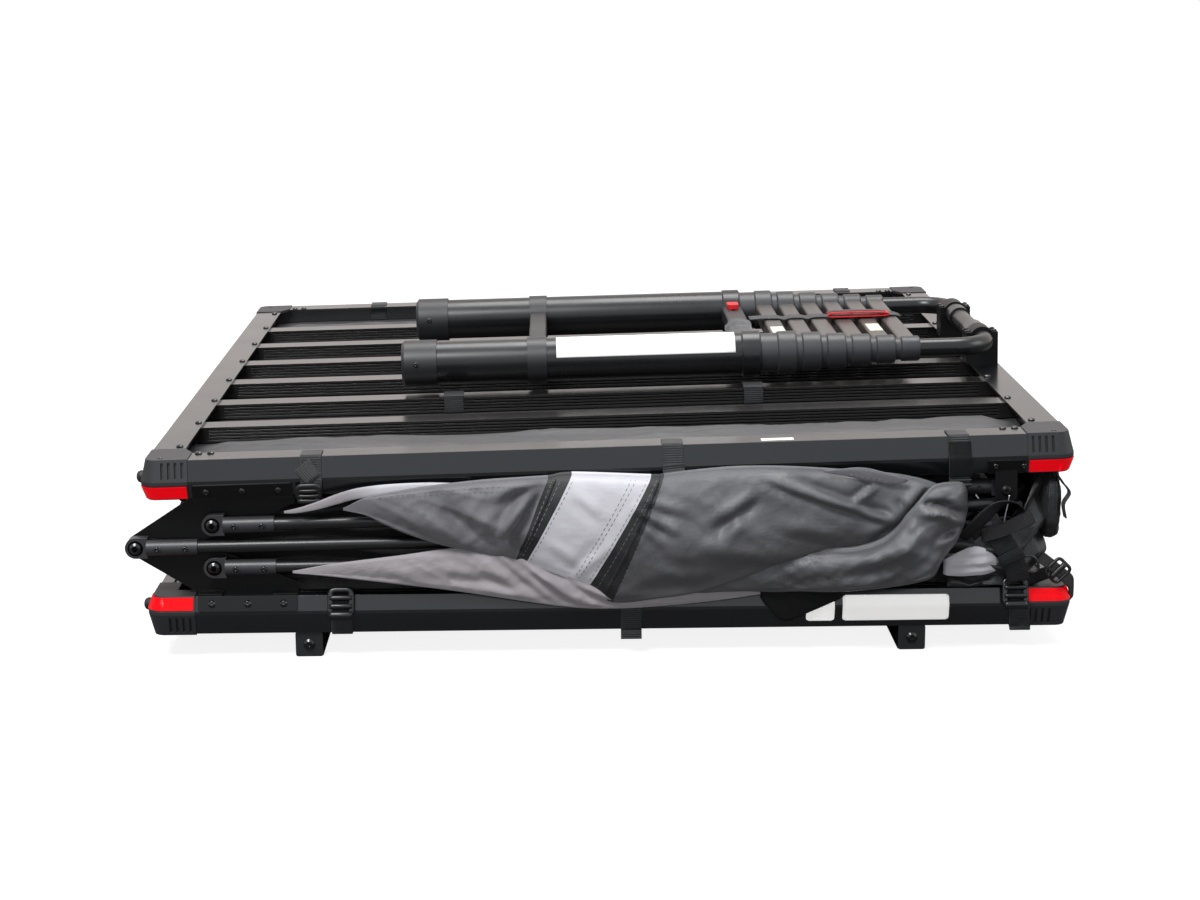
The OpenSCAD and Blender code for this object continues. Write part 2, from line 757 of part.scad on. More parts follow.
module ladder_blocks() {
    color(black) ladder_place() block_pair()
        difference() {
            translate([-block_w/2, 0.2]) square([block_w, ladder_lift - 0.2]);
            circle(top_r + run_fit);
        }
}

module ladder_block_caps() {
    color(black) ladder_place() block_pair()
        difference() {
            union() {
                translate([-block_w/2, -shoulder]) square([block_w, shoulder - 0.2]);
                intersection() {
                    circle(crown);
                    translate([-crown, -crown]) square([2*crown, crown - 0.2]);
                }
            }
            circle(top_r + run_fit);
        }
}

module block_screws() {
    both_sides() for (x = [-1, 1], y = [-1, 1])
        translate([pivot_x + x*(block_w/2 + crown_half)/2, block_at + y*block_len/4, -ladder_lift - shoulder - seat])
            rotate([180, 0, 0]) screw_head((block_w/2 - crown_half)/2 - 0.3, 2.5);
}

// Top tube of the ladder with its two grips, turning in the pivot blocks
module ladder_top_tube() {
    leg_end = collar_x(stage_count) - step_pitch - tube_overlap + collar_pitch;
    color(black) ladder_place() {
        both_sides() {
            translate([leg_end, -ladder_y, 0])
                rotate([0, 90, 0]) linear_extrude(pivot_x - top_bend - leg_end) ring(top_r, ladder_wall);
            translate([pivot_x - top_bend, -ladder_y + top_bend, 0])
                rotate([0, 0, -90]) rotate_extrude(angle = 90) translate([top_bend, 0]) ring(top_r, ladder_wall);
            // Grip sleeve beside each block
            translate([pivot_x, 0, 0]) along_y(block_at - block_len/2 - 42, block_at - block_len/2 - 4)
                difference() {
                    circle(top_r + 3);
                    circle(top_r + seat);
                }
        }
        translate([pivot_x, -ladder_y + top_bend, 0])
            rotate([-90, 0, 0]) linear_extrude(2*(ladder_y - top_bend)) ring(top_r, ladder_wall);
    }
}

// One side of a stage: a tube with its collar, turned about the tube's axis
module stage_side(k) {
    x0 = k == 1 ? foot_end + 5 : collar_x(k) - tube_len(k) + (k == 2 ? grip_gap : 0);
    x1 = collar_x(k);
    x2 = x1 + collar_len;
    r = tube_r(k);
    out = collar_r(k);
    guide = (k == stage_count ? top_r : tube_r(k + 1)) + room;
    edge = 2;
    rotate([0, 90, 0])
        rotate_extrude()
            polygon([
                [r - ladder_wall, x0], [r, x0], [r, x1], [out - edge, x1], [out, x1 + edge],
                [out, x2 - edge], [out - edge, x2], [guide, x2], [guide, x1 + 2*edge], [r - ladder_wall, x1 + 2*edge]
            ]);
}

module ladder_stage(k) color(black) ladder_place() both_sides() translate([0, -ladder_y, 0]) stage_side(k);

// Step with a rounded top, cut to the two collars that carry it
module step_bar(w, h, r) {
    top = 4;
    difference() {
        along_y(-ladder_y, ladder_y)
            difference() {
                translate([-w/2, -h/2]) round_rect(w, h, top);
                translate([-w/2 + 2, -h/2 + 2]) square([w - 4, h - 4]);
            }
        both_sides() translate([0, -ladder_y, 0]) bar_x(-w, w, r + seat);
    }
}

module ladder_step(k) {
    color(anodised) ladder_place()
        translate([collar_x(k) + collar_len/2, 0, 0]) step_bar(step_w, step_h, collar_r(k));
}

// First step, with the slots that the release buttons slide in
module ladder_step_1() {
    color(plastic) ladder_place() translate([collar_x(1) + collar_len/2, 0, 0])
        difference() {
            step_bar(step_1_w, step_h, collar_r(1));
            both_sides()
                translate([-stem_w/2 - room, button_at - button_len/2 - button_travel, -step_h/2 - 1])
                    cube([stem_w + 2*room, button_len + button_travel, 4]);
        }
}

module release_button(side) {
    color(red) ladder_place() translate([collar_x(1) + collar_len/2, side*button_at, -step_h/2]) {
        translate([-button_w/2, -button_len/2, -button_h - room])
            linear_extrude(button_h) round_rect(button_w, button_len, 4);
        translate([-stem_w/2, -button_len/4, -room - 1]) cube([stem_w, button_len/2, stem_d]);
    }
}

module ladder_base_tubes() ladder_stage(1);

// Fixed step with a ring round each bottom tube
module ladder_fixed_step() {
    r = foot_tube_d/2;
    color(black) ladder_place() translate([fixed_step, 0, 0]) {
        step_bar(step_w, step_h, r + collar_out - 1);
        both_sides() translate([-collar_len/2, -ladder_y, 0])
            rotate([0, 90, 0]) linear_extrude(collar_len) difference() {
                circle(r + collar_out);
                circle(r + seat);
            }
    }
}

module ladder_feet() {
    r = foot_tube_d/2;
    wall = 2.6;
    color(plastic) ladder_place() both_sides() translate([foot_end, -ladder_y, 0])
        rotate([0, 90, 0])
            rotate_extrude()
                polygon([
                    [0, 0], [r - 3, 0], [r + wall, 4], [r + wall, foot_len], [r + seat, foot_len],
                    [r + seat, 5 - seat], [0, 5 - seat]
                ]);
}

// Webbing over the closed steps, with a pull loop
module ladder_tie_strap() {
    from = collar_x(2);
    to = collar_x(stage_count) + collar_len;
    color(black) ladder_place() translate([0, 30, -step_h/2 - room]) {
        translate([from, -strap_w/2, -strap_t]) cube([to - from, strap_w, strap_t]);
        translate([to - pull_in - pull_len, -strap_w/2 + 2, -strap_t - pull_h]) along_y(0, strap_w - 4)
            difference() {
                round_rect(pull_len, pull_h, 3);
                translate([strap_t, strap_t]) round_rect(pull_len - 2*strap_t, pull_h - 2*strap_t, 1.5);
            }
    }
}

// Canopy: a folded pack between the halves, and two hanging folds on each long side
pack_low = foot_h + mattress_top + room;
pack_layers = 5;
canopy_y = half_w + strap_gap + strap_t + room;

module canopy_pack() {
    top = hinge_z + bow_offset + 4;
    left = bow_x + strip_len - 14;
    right = half_l - bow_end_gap - bow_d/2 - 6;
    layer = (top - pack_low)/pack_layers;
    steps = 6;
    function lap(i) = 9*sqrt(sin(180*(i + 0.5)/steps));
    ends = [for (n = [0:pack_layers - 1], i = [0:steps - 1]) [lap(i), pack_low + layer*(n + i/steps)]];
    count = len(ends);
    // The pack stays between the bends of the bows
    along_y(-bow_y + bow_bend, bow_y - bow_bend)
        polygon(concat(
            [for (e = ends) [right - 9 + e.x, e.y]],
            [for (i = [count - 1:-1:0]) [left + 9 - ends[i].x, ends[i].y]]
        ));
}

// Hanging fold on the near or the far side: a lens between a low and a high edge,
// which are functions of the share s along it
module hanging_fold(side, from, to, low, high, plane, out, waves, slant, nx, nz) {
    function on_edge(i, j) = i == 0 || i == nx || j == 0 || j == nz;
    function spot(i, j, front) =
        let (s = i/nx, t = j/nz)
        let (swell = pow(sin(180*s), 0.6)*pow(sin(180*t), 0.7))
        let (wave = fold_depth*sin(360*waves*(s + slant*t))*sin(180*t)*sin(180*s))
        let (proud = front == 0 || on_edge(i, j) ? 0 : out*max(swell + wave, 0.1))
        [from + (to - from)*s, side*(plane + proud), low(s) + (high(s) - low(s))*t];
    // The back and the front share the points along the edge
    function at(i, j, front) = (on_edge(i, j) ? 0 : front)*(nx + 1)*(nz + 1) + i*(nz + 1) + j;
    points = [for (front = [0, 1], i = [0:nx], j = [0:nz]) spot(i, j, front)];
    cells = [for (i = [0:nx - 1], j = [0:nz - 1]) each [
        [[i, j], [i, j + 1], [i + 1, j]],
        [[i + 1, j], [i, j + 1], [i + 1, j + 1]]
    ]];
    // A corner whose three points all lie on the edge has no thickness and is left off
    function thick(cell) = len([for (p = cell) if (!on_edge(p.x, p.y)) p]) > 0;
    fronts = [for (cell = cells) if (thick(cell)) [for (p = cell) at(p.x, p.y, 1)]];
    backs = [for (cell = cells) if (thick(cell)) [for (k = [2:-1:0]) at(cell[k].x, cell[k].y, 0)]];
    polyhedron(points, [for (f = concat(fronts, backs)) side < 0 ? f : [f.z, f.y, f.x]]);
}

// Upper fold: it hangs from the upper frame in a slanting lobe that is deepest past the middle
fold_from = upper_strap_x[0] + buckle_w/2 + 8;
fold_to = upper_strap_x[2] + 6;
fold_turn = 0.48;
function frame_edge(s) = hinge_z + half_gap + (fold_from + (fold_to - fold_from)*s - hinge_x)*tan(stow_tilt);
upper_high = function (s) frame_edge(s) - 18 + 38*pow(sin(180*s), 0.6) - 30*pow(s, 6);
upper_drop = function (s)
    s < fold_turn ? pow(s/fold_turn, 1.25) :
    let (u = (s - fold_turn)/(1 - fold_turn)) 1 - 0.15*u - 0.5*pow(u, 8);
upper_low = function (s) hinge_z + 0.68*half_gap - 1.8*half_gap*upper_drop(s);
// Lower fold: it lies on the edge of the lower frame, partly behind the upper one
lower_to = fold_to - lower_short;
upper_plane = canopy_y + (1 + 0.2*fold_depth)*lower_out + room;
lower_high = function (s) hinge_z - 20 + 12*sin(180*s);
lower_low = function (s) hinge_z - 27 - 0.85*half_gap*pow(sin(150*s), 1.2);

module canopy() {
    color(cloth_grey) translate([shift_x, 0, 0]) {
        canopy_pack();
        for (side = [-1, 1]) {
            hanging_fold(side, fold_from, fold_to, upper_low, upper_high, upper_plane, canopy_out, 3, 0.25, 34, 12);
            hanging_fold(side, fold_from, lower_to, lower_low, lower_high, canopy_y, lower_out, 2, -0.2, 24, 6);
        }
    }
}

module lower_side_rails() color(anodised) lower_place() half_side_rails();
module lower_end_rails() color(anodised) lower_place() half_end_rails();
module lower_corner_caps() color(plastic) lower_place() half_corner_caps();
module lower_reflectors() color(red) lower_place() half_reflectors();
module lower_slats() color(anodised) lower_place() half_slats();
module lower_floor_cloth() color(cloth_grey) lower_place() half_floor_cloth();
module lower_mattress() color(cloth_grey) lower_place() half_mattress();
module lower_hinge_plates() color(black) lower_place() half_hinge_plates(lower_plate_y);
module lower_bumpers() color(black) lower_place() half_bumpers();
module lower_screws() {
    color(black) lower_place() {
        half_screws();
        bow_bolts(lower_plate_y, 0);
        mount_bolts();
    }
}
module lower_straps() color(black) lower_place() half_straps(lower_strap_x);
module lower_buckles() color(plastic) lower_place() half_buckles([lower_strap_x[0], lower_strap_x[2]]);

module upper_side_rails() color(anodised) upper_place() half_side_rails();
module upper_end_rails() color(anodised) upper_place() half_end_rails();
module upper_corner_caps() color(plastic) upper_place() half_corner_caps();
module upper_reflectors() color(red) upper_place() half_reflectors();
module upper_slats() color(anodised) upper_place() half_slats();
module upper_floor_cloth() color(cloth_grey) upper_place() half_floor_cloth();
module upper_mattress() color(cloth_grey) upper_place() half_mattress();
module upper_hinge_plates() color(black) upper_place() half_hinge_plates(upper_plate_y);
module upper_bumpers() color(black) upper_place() half_bumpers();
module upper_screws() {
    color(black) upper_place() {
        half_screws();
        bow_bolts(upper_plate_y, upper_plate_y + plate_t + 0.2);
        block_screws();
    }
}
module upper_straps() {
    color(black) upper_place() {
        half_straps(upper_strap_x);
        slat_loops();
    }
}
module upper_buckles() color(plastic) upper_place() half_buckles([upper_strap_x[0], upper_strap_x[2]]);

lower_side_rails();
lower_end_rails();
lower_corner_caps();
lower_reflectors();
lower_slats();
lower_floor_cloth();
lower_mattress();
lower_hinge_plates();
lower_bumpers();
lower_screws();
lower_straps();
lower_buckles();
mount_rails();
mount_rail_caps();
hinge_pins();
canopy();
upper_side_rails();
upper_end_rails();
upper_corner_caps();
upper_reflectors();
upper_slats();
upper_floor_cloth();
upper_mattress();
upper_hinge_plates();
upper_bumpers();
upper_screws();
upper_straps();
upper_buckles();
ladder_blocks();
ladder_block_caps();
entrance_brackets();
lower_bow();
lower_bow_ends();
middle_bow();
middle_bow_ends();
upper_bow();
upper_bow_ends();
entrance_bow();
entrance_bow_ends();
ladder_top_tube();
ladder_stage(7);  // ladder_stage_7
ladder_stage(6);  // ladder_stage_6
ladder_stage(5);  // ladder_stage_5
ladder_stage(4);  // ladder_stage_4
ladder_stage(3);  // ladder_stage_3
ladder_stage(2);  // ladder_stage_2
ladder_step(7);  // ladder_step_7
ladder_step(6);  // ladder_step_6
ladder_step(5);  // ladder_step_5
ladder_step(4);  // ladder_step_4
ladder_step(3);  // ladder_step_3
ladder_step(2);  // ladder_step_2
ladder_base_tubes();
ladder_step_1();
ladder_fixed_step();
ladder_feet();
release_button(-1);  // release_button_front
release_button(1);  // release_button_back
ladder_tie_strap();
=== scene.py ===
import json
import math

import bpy
import numpy as np
from mathutils import Matrix, Vector, noise


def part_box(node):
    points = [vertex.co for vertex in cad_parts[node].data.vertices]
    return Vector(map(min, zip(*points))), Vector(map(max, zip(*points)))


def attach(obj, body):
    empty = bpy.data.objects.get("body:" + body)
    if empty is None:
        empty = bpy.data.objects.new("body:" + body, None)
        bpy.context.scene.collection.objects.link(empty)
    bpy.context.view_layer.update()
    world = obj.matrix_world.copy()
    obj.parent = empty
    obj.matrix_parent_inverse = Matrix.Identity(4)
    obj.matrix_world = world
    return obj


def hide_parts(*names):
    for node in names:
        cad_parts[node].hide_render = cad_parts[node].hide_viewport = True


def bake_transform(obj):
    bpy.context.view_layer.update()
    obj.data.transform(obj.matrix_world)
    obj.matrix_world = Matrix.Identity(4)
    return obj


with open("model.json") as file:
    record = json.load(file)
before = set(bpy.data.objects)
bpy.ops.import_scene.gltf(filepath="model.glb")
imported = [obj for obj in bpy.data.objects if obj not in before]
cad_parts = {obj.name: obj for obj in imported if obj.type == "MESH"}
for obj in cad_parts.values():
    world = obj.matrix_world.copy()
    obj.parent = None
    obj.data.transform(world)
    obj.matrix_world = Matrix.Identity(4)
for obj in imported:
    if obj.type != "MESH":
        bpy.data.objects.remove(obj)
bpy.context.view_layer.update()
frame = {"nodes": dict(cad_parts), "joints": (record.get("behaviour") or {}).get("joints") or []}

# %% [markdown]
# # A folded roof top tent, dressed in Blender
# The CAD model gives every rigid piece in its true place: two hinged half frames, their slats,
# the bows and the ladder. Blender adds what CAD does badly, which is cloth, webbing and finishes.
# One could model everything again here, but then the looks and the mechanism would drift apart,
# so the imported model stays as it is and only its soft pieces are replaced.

NODES = frame["nodes"]
JOINTS = {joint["name"]: joint for joint in frame["joints"]}
HINGE = Vector(JOINTS["fold"]["pos_m"])
SLIDE = JOINTS["ladder_stage_7_slide"]["axis"]
TILT = math.atan2(SLIDE[2], SLIDE[0]) % math.pi

# %% [markdown]
# ## Numbers shared by the soft pieces
# Straps and cloth lie on the half frames, so they need the frames' own numbers: where the ridge of
# a rail runs, and at which heights its faces begin. They could be measured from the meshes, but a
# short table reads better. The upper half is drawn level and then turned about the hinge by its
# stowing tilt, which is what the real one does when it is let down on the folded cloth.

# %% Places on the half frames
caps_low, caps_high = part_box("lower_corner_caps")
MID_X = (caps_low.x + caps_high.x) / 2
HALF_W = 0.610  # from the middle of a half to the ridge of its side rail
LEAN = 0.007  # how far a rail's face leans back from its ridge
LOWER_OUT, UPPER_OUT = 0.032, 0.252  # heights of the outer faces
LADDER_Z = UPPER_OUT + 0.036  # height of the ladder's tubes
SLATS, SLAT_FIRST, SLAT_PITCH, SLAT_W = 6, -0.3775, 0.151, 0.036
SIDES = ((-1, "front"), (1, "back"))
TO_UPPER = Matrix.Translation(HINGE) @ Matrix.Rotation(-TILT, 4, "Y") @ Matrix.Translation(-HINGE)


def tilted(points):
    """Turn points of the level upper half to where it lies on the folded cloth."""
    turn, points = np.array(TO_UPPER), np.asarray(points, float)
    return (points.reshape(-1, 3) @ turn[:3, :3].T + turn[:3, 3]).reshape(points.shape)


def on_half(x, y, depth, half):
    """A grid of points at a depth behind the outer face of a half. x counts from its middle."""
    z = UPPER_OUT - depth if half == "upper" else LOWER_OUT + depth
    grid = np.stack([x + MID_X, y, z], axis=-1)
    return tilted(grid) if half == "upper" else grid


def mirrored(points, side, shift=0.0):
    """Points drawn for one long side, put on either side and moved along the frame."""
    return np.array([(x + shift, side * y, z) for x, y, z in points])


print("middle of the frames at x =", round(MID_X, 4))

# %% [markdown]
# ## Camera
# The photograph was taken with a long lens from a little above the roof, square to one long side.
# Its place was solved from the parallel edges of the frames. A camera could be aimed by hand until
# it looks right, but a solved one lets each piece be compared with the picture point by point.

# %% Camera
pitch, yaw, roll = (math.radians(a) for a in (12.48, -1.12, -0.34))
right = Vector((math.cos(yaw), math.sin(yaw), 0))
ahead = Vector((-math.sin(yaw) * math.cos(pitch), math.cos(yaw) * math.cos(pitch), -math.sin(pitch)))
above = right.cross(ahead)
side_axis = right * math.cos(roll) + above * math.sin(roll)
up_axis = above * math.cos(roll) - right * math.sin(roll)
camera = bpy.data.objects.new("camera", bpy.data.cameras.new("camera"))
bpy.context.scene.collection.objects.link(camera)
camera.matrix_world = Matrix((
    (side_axis.x, up_axis.x, -ahead.x, -0.0561),
    (side_axis.y, up_axis.y, -ahead.y, -3.431),
    (side_axis.z, up_axis.z, -ahead.z, 0.887),
    (0, 0, 0, 1),
))
camera.data.sensor_fit, camera.data.sensor_width, camera.data.lens = "HORIZONTAL", 36, 70.8
camera.data.clip_end = 200
bpy.context.scene.camera = camera
print("camera at", [round(v, 3) for v in camera.location])

# %% [markdown]
# ## Stage and light
# A product photograph of a black object works by reflection: a big white sky draws the pale tops of
# the rails and tubes, and a grey floor leaves their lower faces black. The sky is therefore white to
# the camera and to glossy rays, and the floor only to the camera, where it still shows its shadow.
# More lamps would also make a white picture, but they would wash out the blacks.

# %% Node helpers
def fill(node, inputs):
    """Fill a node's inputs with plain values, or link them to outputs of other nodes."""
    for key, value in inputs.items():
        if isinstance(value, bpy.types.NodeSocket):
            node.id_data.links.new(value, node.inputs[key])
        else:
            node.inputs[key].default_value = value


def add(tree, kind, inputs=None, **settings):
    """Add one shader node, set its properties and fill its inputs."""
    made = tree.nodes.new("ShaderNode" + kind)
    for key, value in settings.items():
        setattr(made, key, value)
    fill(made, inputs or {})
    return made


def compute(tree, operation, *values):
    """One sum, product or the like."""
    return add(tree, "Math", dict(enumerate(values)), operation=operation).outputs[0]


def remap(tree, value, low, high, to_low=0.0, to_high=1.0):
    """Stretch the range from low to high to another one."""
    inputs = {"Value": value, "From Min": low, "From Max": high, "To Min": to_low, "To Max": to_high}
    return add(tree, "MapRange", inputs).outputs[0]


def mix(tree, share, first, second, blend="MIX"):
    """Mix two colours, each a plain one or an output of a node."""
    first, second = (c if isinstance(c, bpy.types.NodeSocket) else (*c, 1) for c in (first, second))
    inputs = {0: share, 6: first, 7: second}
    return add(tree, "Mix", inputs, data_type="RGBA", blend_type=blend).outputs[2]


def speckle(tree, place, scale, detail, rough=0.5):
    """Noise from 0 to 1."""
    inputs = {"Vector": place, "Scale": scale, "Detail": detail, "Roughness": rough}
    return add(tree, "TexNoise", inputs).outputs["Fac"]


def relief_on(tree, height, distance, strength, **under):
    """Heights as a tilted surface, over the given Normal if there is one."""
    inputs = {"Height": height, "Distance": distance, "Strength": strength, **under}
    return add(tree, "Bump", inputs).outputs[0]


# %% World, floor and lamps
scene = bpy.context.scene
scene.view_settings.view_transform = "Standard"
world = bpy.data.worlds.new("studio")
scene.world = world
world.use_nodes = True
tree = world.node_tree
tree.nodes.clear()
rays = add(tree, "LightPath").outputs
direct = compute(tree, "MAXIMUM", rays["Is Camera Ray"], rays["Is Glossy Ray"])
direct = compute(tree, "MAXIMUM", direct, rays["Is Transmission Ray"])
soft_sky = add(tree, "Background", {"Color": (0.93, 0.96, 1.0, 1), "Strength": 0.20})
way = add(tree, "SeparateXYZ", {0: add(tree, "TexCoord").outputs["Generated"]})
sky_tint = mix(tree, remap(tree, way.outputs["Y"], -0.3, 0.6), (0.90, 0.96, 1.0), (1.0, 0.93, 0.895))
white_sky = add(tree, "Background", {"Color": sky_tint, "Strength": 1.0})
sky = add(tree, "MixShader", {0: direct, 1: soft_sky.outputs[0], 2: white_sky.outputs[0]})
add(tree, "OutputWorld", {"Surface": sky.outputs[0]})

paper = bpy.data.materials.new("studio_paper")
paper.use_nodes = True
tree = paper.node_tree
tree.nodes.clear()
lens_only = add(tree, "LightPath").outputs["Is Camera Ray"]
lit = add(tree, "BsdfDiffuse", {"Color": mix(tree, lens_only, (0.14, 0.14, 0.14), (0.32, 0.32, 0.32))})
spot = add(tree, "NewGeometry").outputs["Position"]
away = add(tree, "VectorMath", {0: spot}, operation="LENGTH").outputs["Value"]
share = compute(tree, "MULTIPLY", lens_only, remap(tree, away, 1.2, 5.0, 0.86, 0.97))
glow = add(tree, "Emission", {"Color": (1, 1, 1, 1), "Strength": share})
both = add(tree, "AddShader", {0: lit.outputs[0], 1: glow.outputs[0]})
add(tree, "OutputMaterial", {"Surface": both.outputs[0]})
FLOOR_REACH, FLOOR_DROP = 60, 0.0004
floor_mesh = bpy.data.meshes.new("floor")
corners = [(x * FLOOR_REACH, y * FLOOR_REACH, 0) for x, y in ((-1, -1), (1, -1), (1, 1), (-1, 1))]
floor_mesh.from_pydata(corners, [], [(0, 1, 2, 3)])
floor_mesh.materials.append(paper)
floor = bpy.data.objects.new("floor", floor_mesh)
floor.location.z = -FLOOR_DROP
scene.collection.objects.link(floor)


def soft_box(name, place, target, size, power):
    """A large rectangular lamp that looks at a point."""
    lamp = bpy.data.lights.new(name, "AREA")
    lamp.shape, lamp.size, lamp.size_y, lamp.energy = "RECTANGLE", size[0], size[1], power
    holder = bpy.data.objects.new(name, lamp)
    holder.location = place
    holder.rotation_euler = (Vector(target) - Vector(place)).to_track_quat("-Z", "Y").to_euler()
    scene.collection.objects.link(holder)
    return holder


soft_box("key_lamp", (-1.3, -2.2, 3.0), (0, 0, 0.15), (1.6, 1.0), 125)
soft_box("top_lamp", (0.3, 0.6, 3.4), (0, 0, 0.2), (2.4, 1.6), 100)
soft_box("side_lamp", (3.2, -0.8, 1.8), (0, -0.2, 0.15), (1.6, 1.6), 24)
# The front fill lights the cloth, but draws no stripe of its own on the dark rails
soft_box("front_fill", (-0.1, -3.3, 0.8), (0, -0.6, 0.15), (2.6, 1.2), 17).visible_glossy = False

# %% [markdown]
# ## Finishes for the hard pieces
# Rails and slats are extruded aluminium with a dark satin coat. It looks black where it faces the
# lens and pale where it is seen at a grazing angle, which plain Fresnel gloss gives by itself. A
# metallic shader would look like bare metal, so the coat is a dielectric with a low dark colour,
# a fine orange-peel bump, slow changes of gloss from handling, and slightly worn edges.

# %% Hard finish maker
FINISH = {}
EDGE_ROUND, WEAR_ROUND = 0.0006, 0.0016


def new_finish(name, **sockets):
    """Start a material and set some inputs of its shader. An underscore stands for a space."""
    FINISH[name] = bpy.data.materials.new(name)
    FINISH[name].use_nodes = True
    tree = FINISH[name].node_tree
    shader = tree.nodes["Principled BSDF"]
    fill(shader, {key.replace("_", " "): value for key, value in sockets.items()})
    return tree, shader


def hard_finish(name, colour, rough, grain=1800.0, relief=0.000008, spread=0.10, worn=0.0,
                worn_colour=None, **sockets):
    """A coated or moulded surface: grain, uneven gloss, a softened edge and wear along it."""
    tree, shader = new_finish(name, **sockets)
    place = add(tree, "TexCoord").outputs["Object"]
    slow = speckle(tree, place, 9.0, 5.0, 0.62)
    shade = mix(tree, slow, [c * 0.86 for c in colour], [c * 1.14 for c in colour])
    rounded = add(tree, "Bevel", {"Radius": EDGE_ROUND}, samples=4).outputs[0]
    if worn > 0:
        straight = add(tree, "NewGeometry").outputs["Normal"]
        wide = add(tree, "Bevel", {"Radius": WEAR_ROUND}, samples=4).outputs[0]
        turn = add(tree, "VectorMath", {0: wide, 1: straight}, operation="DOT_PRODUCT").outputs["Value"]
        edge = remap(tree, turn, 0.97, 0.72, 0.0, worn)
        rub = compute(tree, "MULTIPLY", edge, speckle(tree, place, 70.0, 4.0))
        shade = mix(tree, rub, shade, worn_colour)
    fill(shader, {
        "Base Color": shade,
        "Roughness": remap(tree, slow, 0.3, 0.7, rough - spread / 2, rough + spread / 2),
        "Normal": relief_on(tree, speckle(tree, place, grain, 2.0), relief, 0.6, Normal=rounded),
    })


# %% Hard finishes
hard_finish("satin_rail", (0.0070, 0.0078, 0.0095), 0.20, spread=0.06, worn=0.25,
            worn_colour=(0.16, 0.15, 0.14), Specular_IOR_Level=0.6)
hard_finish("satin_slat", (0.0100, 0.0088, 0.0084), 0.20, spread=0.06, worn=0.2,
            worn_colour=(0.15, 0.14, 0.13), Specular_IOR_Level=0.68)
hard_finish("step_finish", (0.060, 0.052, 0.048), 0.36, worn=0.3, worn_colour=(0.25, 0.23, 0.22))
hard_finish("tube_black", (0.0060, 0.0062, 0.0070), 0.30, spread=0.12)
hard_finish("bow_black", (0.0070, 0.0070, 0.0080), 0.34)
hard_finish("plate_black", (0.0030, 0.0030, 0.0034), 0.44, worn=0.25, worn_colour=(0.09, 0.09, 0.09),
            Specular_IOR_Level=0.22)
hard_finish("bolt_black", (0.0022, 0.0022, 0.0025), 0.20, Specular_IOR_Level=0.6)
hard_finish("lug_plastic", (0.027, 0.027, 0.031), 0.40, grain=1300, relief=0.00003)
hard_finish("cap_plastic", (0.016, 0.0163, 0.0188), 0.52, grain=1300, relief=0.00005)
hard_finish("stage_black", (0.026, 0.0265, 0.030), 0.42, grain=1300, relief=0.00003)
hard_finish("collar_plastic", (0.0115, 0.0118, 0.0138), 0.44, grain=1300, relief=0.00004)
hard_finish("buckle_plastic", (0.0065, 0.0065, 0.0075), 0.30, grain=1300, relief=0.00002)
hard_finish("rubber", (0.008, 0.008, 0.008), 0.6, grain=1100, relief=0.0001)
hard_finish("button_red", (0.62, 0.012, 0.018), 0.34, grain=1300, relief=0.00003)
hard_finish("cable_steel", (0.55, 0.55, 0.56), 0.3, Metallic=1.0)
# The white films glow a little through an emission colour: painted light, as they are no lamps.
hard_finish("label_white_painted_glow", (0.87, 0.85, 0.82), 0.34, grain=300, relief=0.00002,
            Emission_Color=(1, 1, 1, 1), Emission_Strength=0.42)
hard_finish("label_cream", (0.66, 0.68, 0.55), 0.4, grain=300, relief=0.00002)
# Matt black for the real washers, and for painted shade: the strips in the slat grooves and the discs in the bolt
# sockets.
hard_finish("washer_black_and_painted_shade", (0.0008, 0.0008, 0.0008), 0.9, Specular_IOR_Level=0.05)
print("hard finishes:", list(FINISH))

# %% [markdown]
# ## Corner reflectors
# A reflector is clear red plastic over rows of tiny prisms. A smooth red would look painted, so a
# cell pattern about 2 mm wide tilts the surface under a clear glossy coat, and the light breaks up
# in it as it does on the real strip. The red also glows a little, which is painted light.

# %% Reflector finish
# The red emission is painted light: the reflector glows though it is no lamp.
tree, shader = new_finish("reflector_red_painted_glow", Coat_Weight=0.12, Coat_Roughness=0.08, Roughness=0.35,
                          Specular_IOR_Level=0.1, Emission_Color=(0.85, 0.0, 0.008, 1),
                          Emission_Strength=0.42)
place = add(tree, "TexCoord").outputs["Object"]
prisms = {"Vector": place, "Scale": 420.0, "Randomness": 0.25}
cells = add(tree, "TexVoronoi", prisms, feature="F1").outputs["Distance"]
fill(shader, {"Base Color": mix(tree, remap(tree, cells, 0.0, 0.75), (0.78, 0.0, 0.003), (0.50, 0.0, 0.002)),
              "Normal": relief_on(tree, cells, 0.0006, 0.35)})
print("reflector finish ready")

# %% [markdown]
# ## Dress the CAD pieces
# Each rigid node keeps its mesh and gets the finish of the real piece. The nodes already ride on
# their bodies, so nothing has to be parented here.

# %% Finishes onto nodes
def on_both(piece):
    """Names of a piece that both halves have."""
    return ["lower_" + piece, "upper_" + piece]


BOWS = ["lower_bow", "middle_bow", "upper_bow", "entrance_bow"]
DRESS = {
    "satin_rail": on_both("side_rails") + on_both("end_rails"),
    "satin_slat": on_both("slats"),
    "cap_plastic": on_both("corner_caps"),
    "reflector_red_painted_glow": on_both("reflectors"),
    "plate_black": on_both("hinge_plates") + ["entrance_brackets", "mount_rails", "ladder_blocks",
                                              "ladder_block_caps"],
    "bolt_black": on_both("screws") + ["hinge_pins"],
    "rubber": on_both("bumpers"),
    "bow_black": BOWS,
    "lug_plastic": [bow + "_ends" for bow in BOWS],
    "collar_plastic": ["mount_rail_caps", "ladder_feet", "ladder_step_1", "ladder_fixed_step"],
    "tube_black": ["ladder_top_tube", "ladder_base_tubes"],
    "stage_black": [f"ladder_stage_{k}" for k in range(2, 8)],
    "step_finish": [f"ladder_step_{k}" for k in range(2, 8)],
    "button_red": ["release_button_front", "release_button_back"],
}
for finish, names in DRESS.items():
    for name in names:
        NODES[name].data.materials.clear()
        NODES[name].data.materials.append(FINISH[finish])
print("dressed", sum(len(v) for v in DRESS.values()), "of", len(NODES), "nodes")

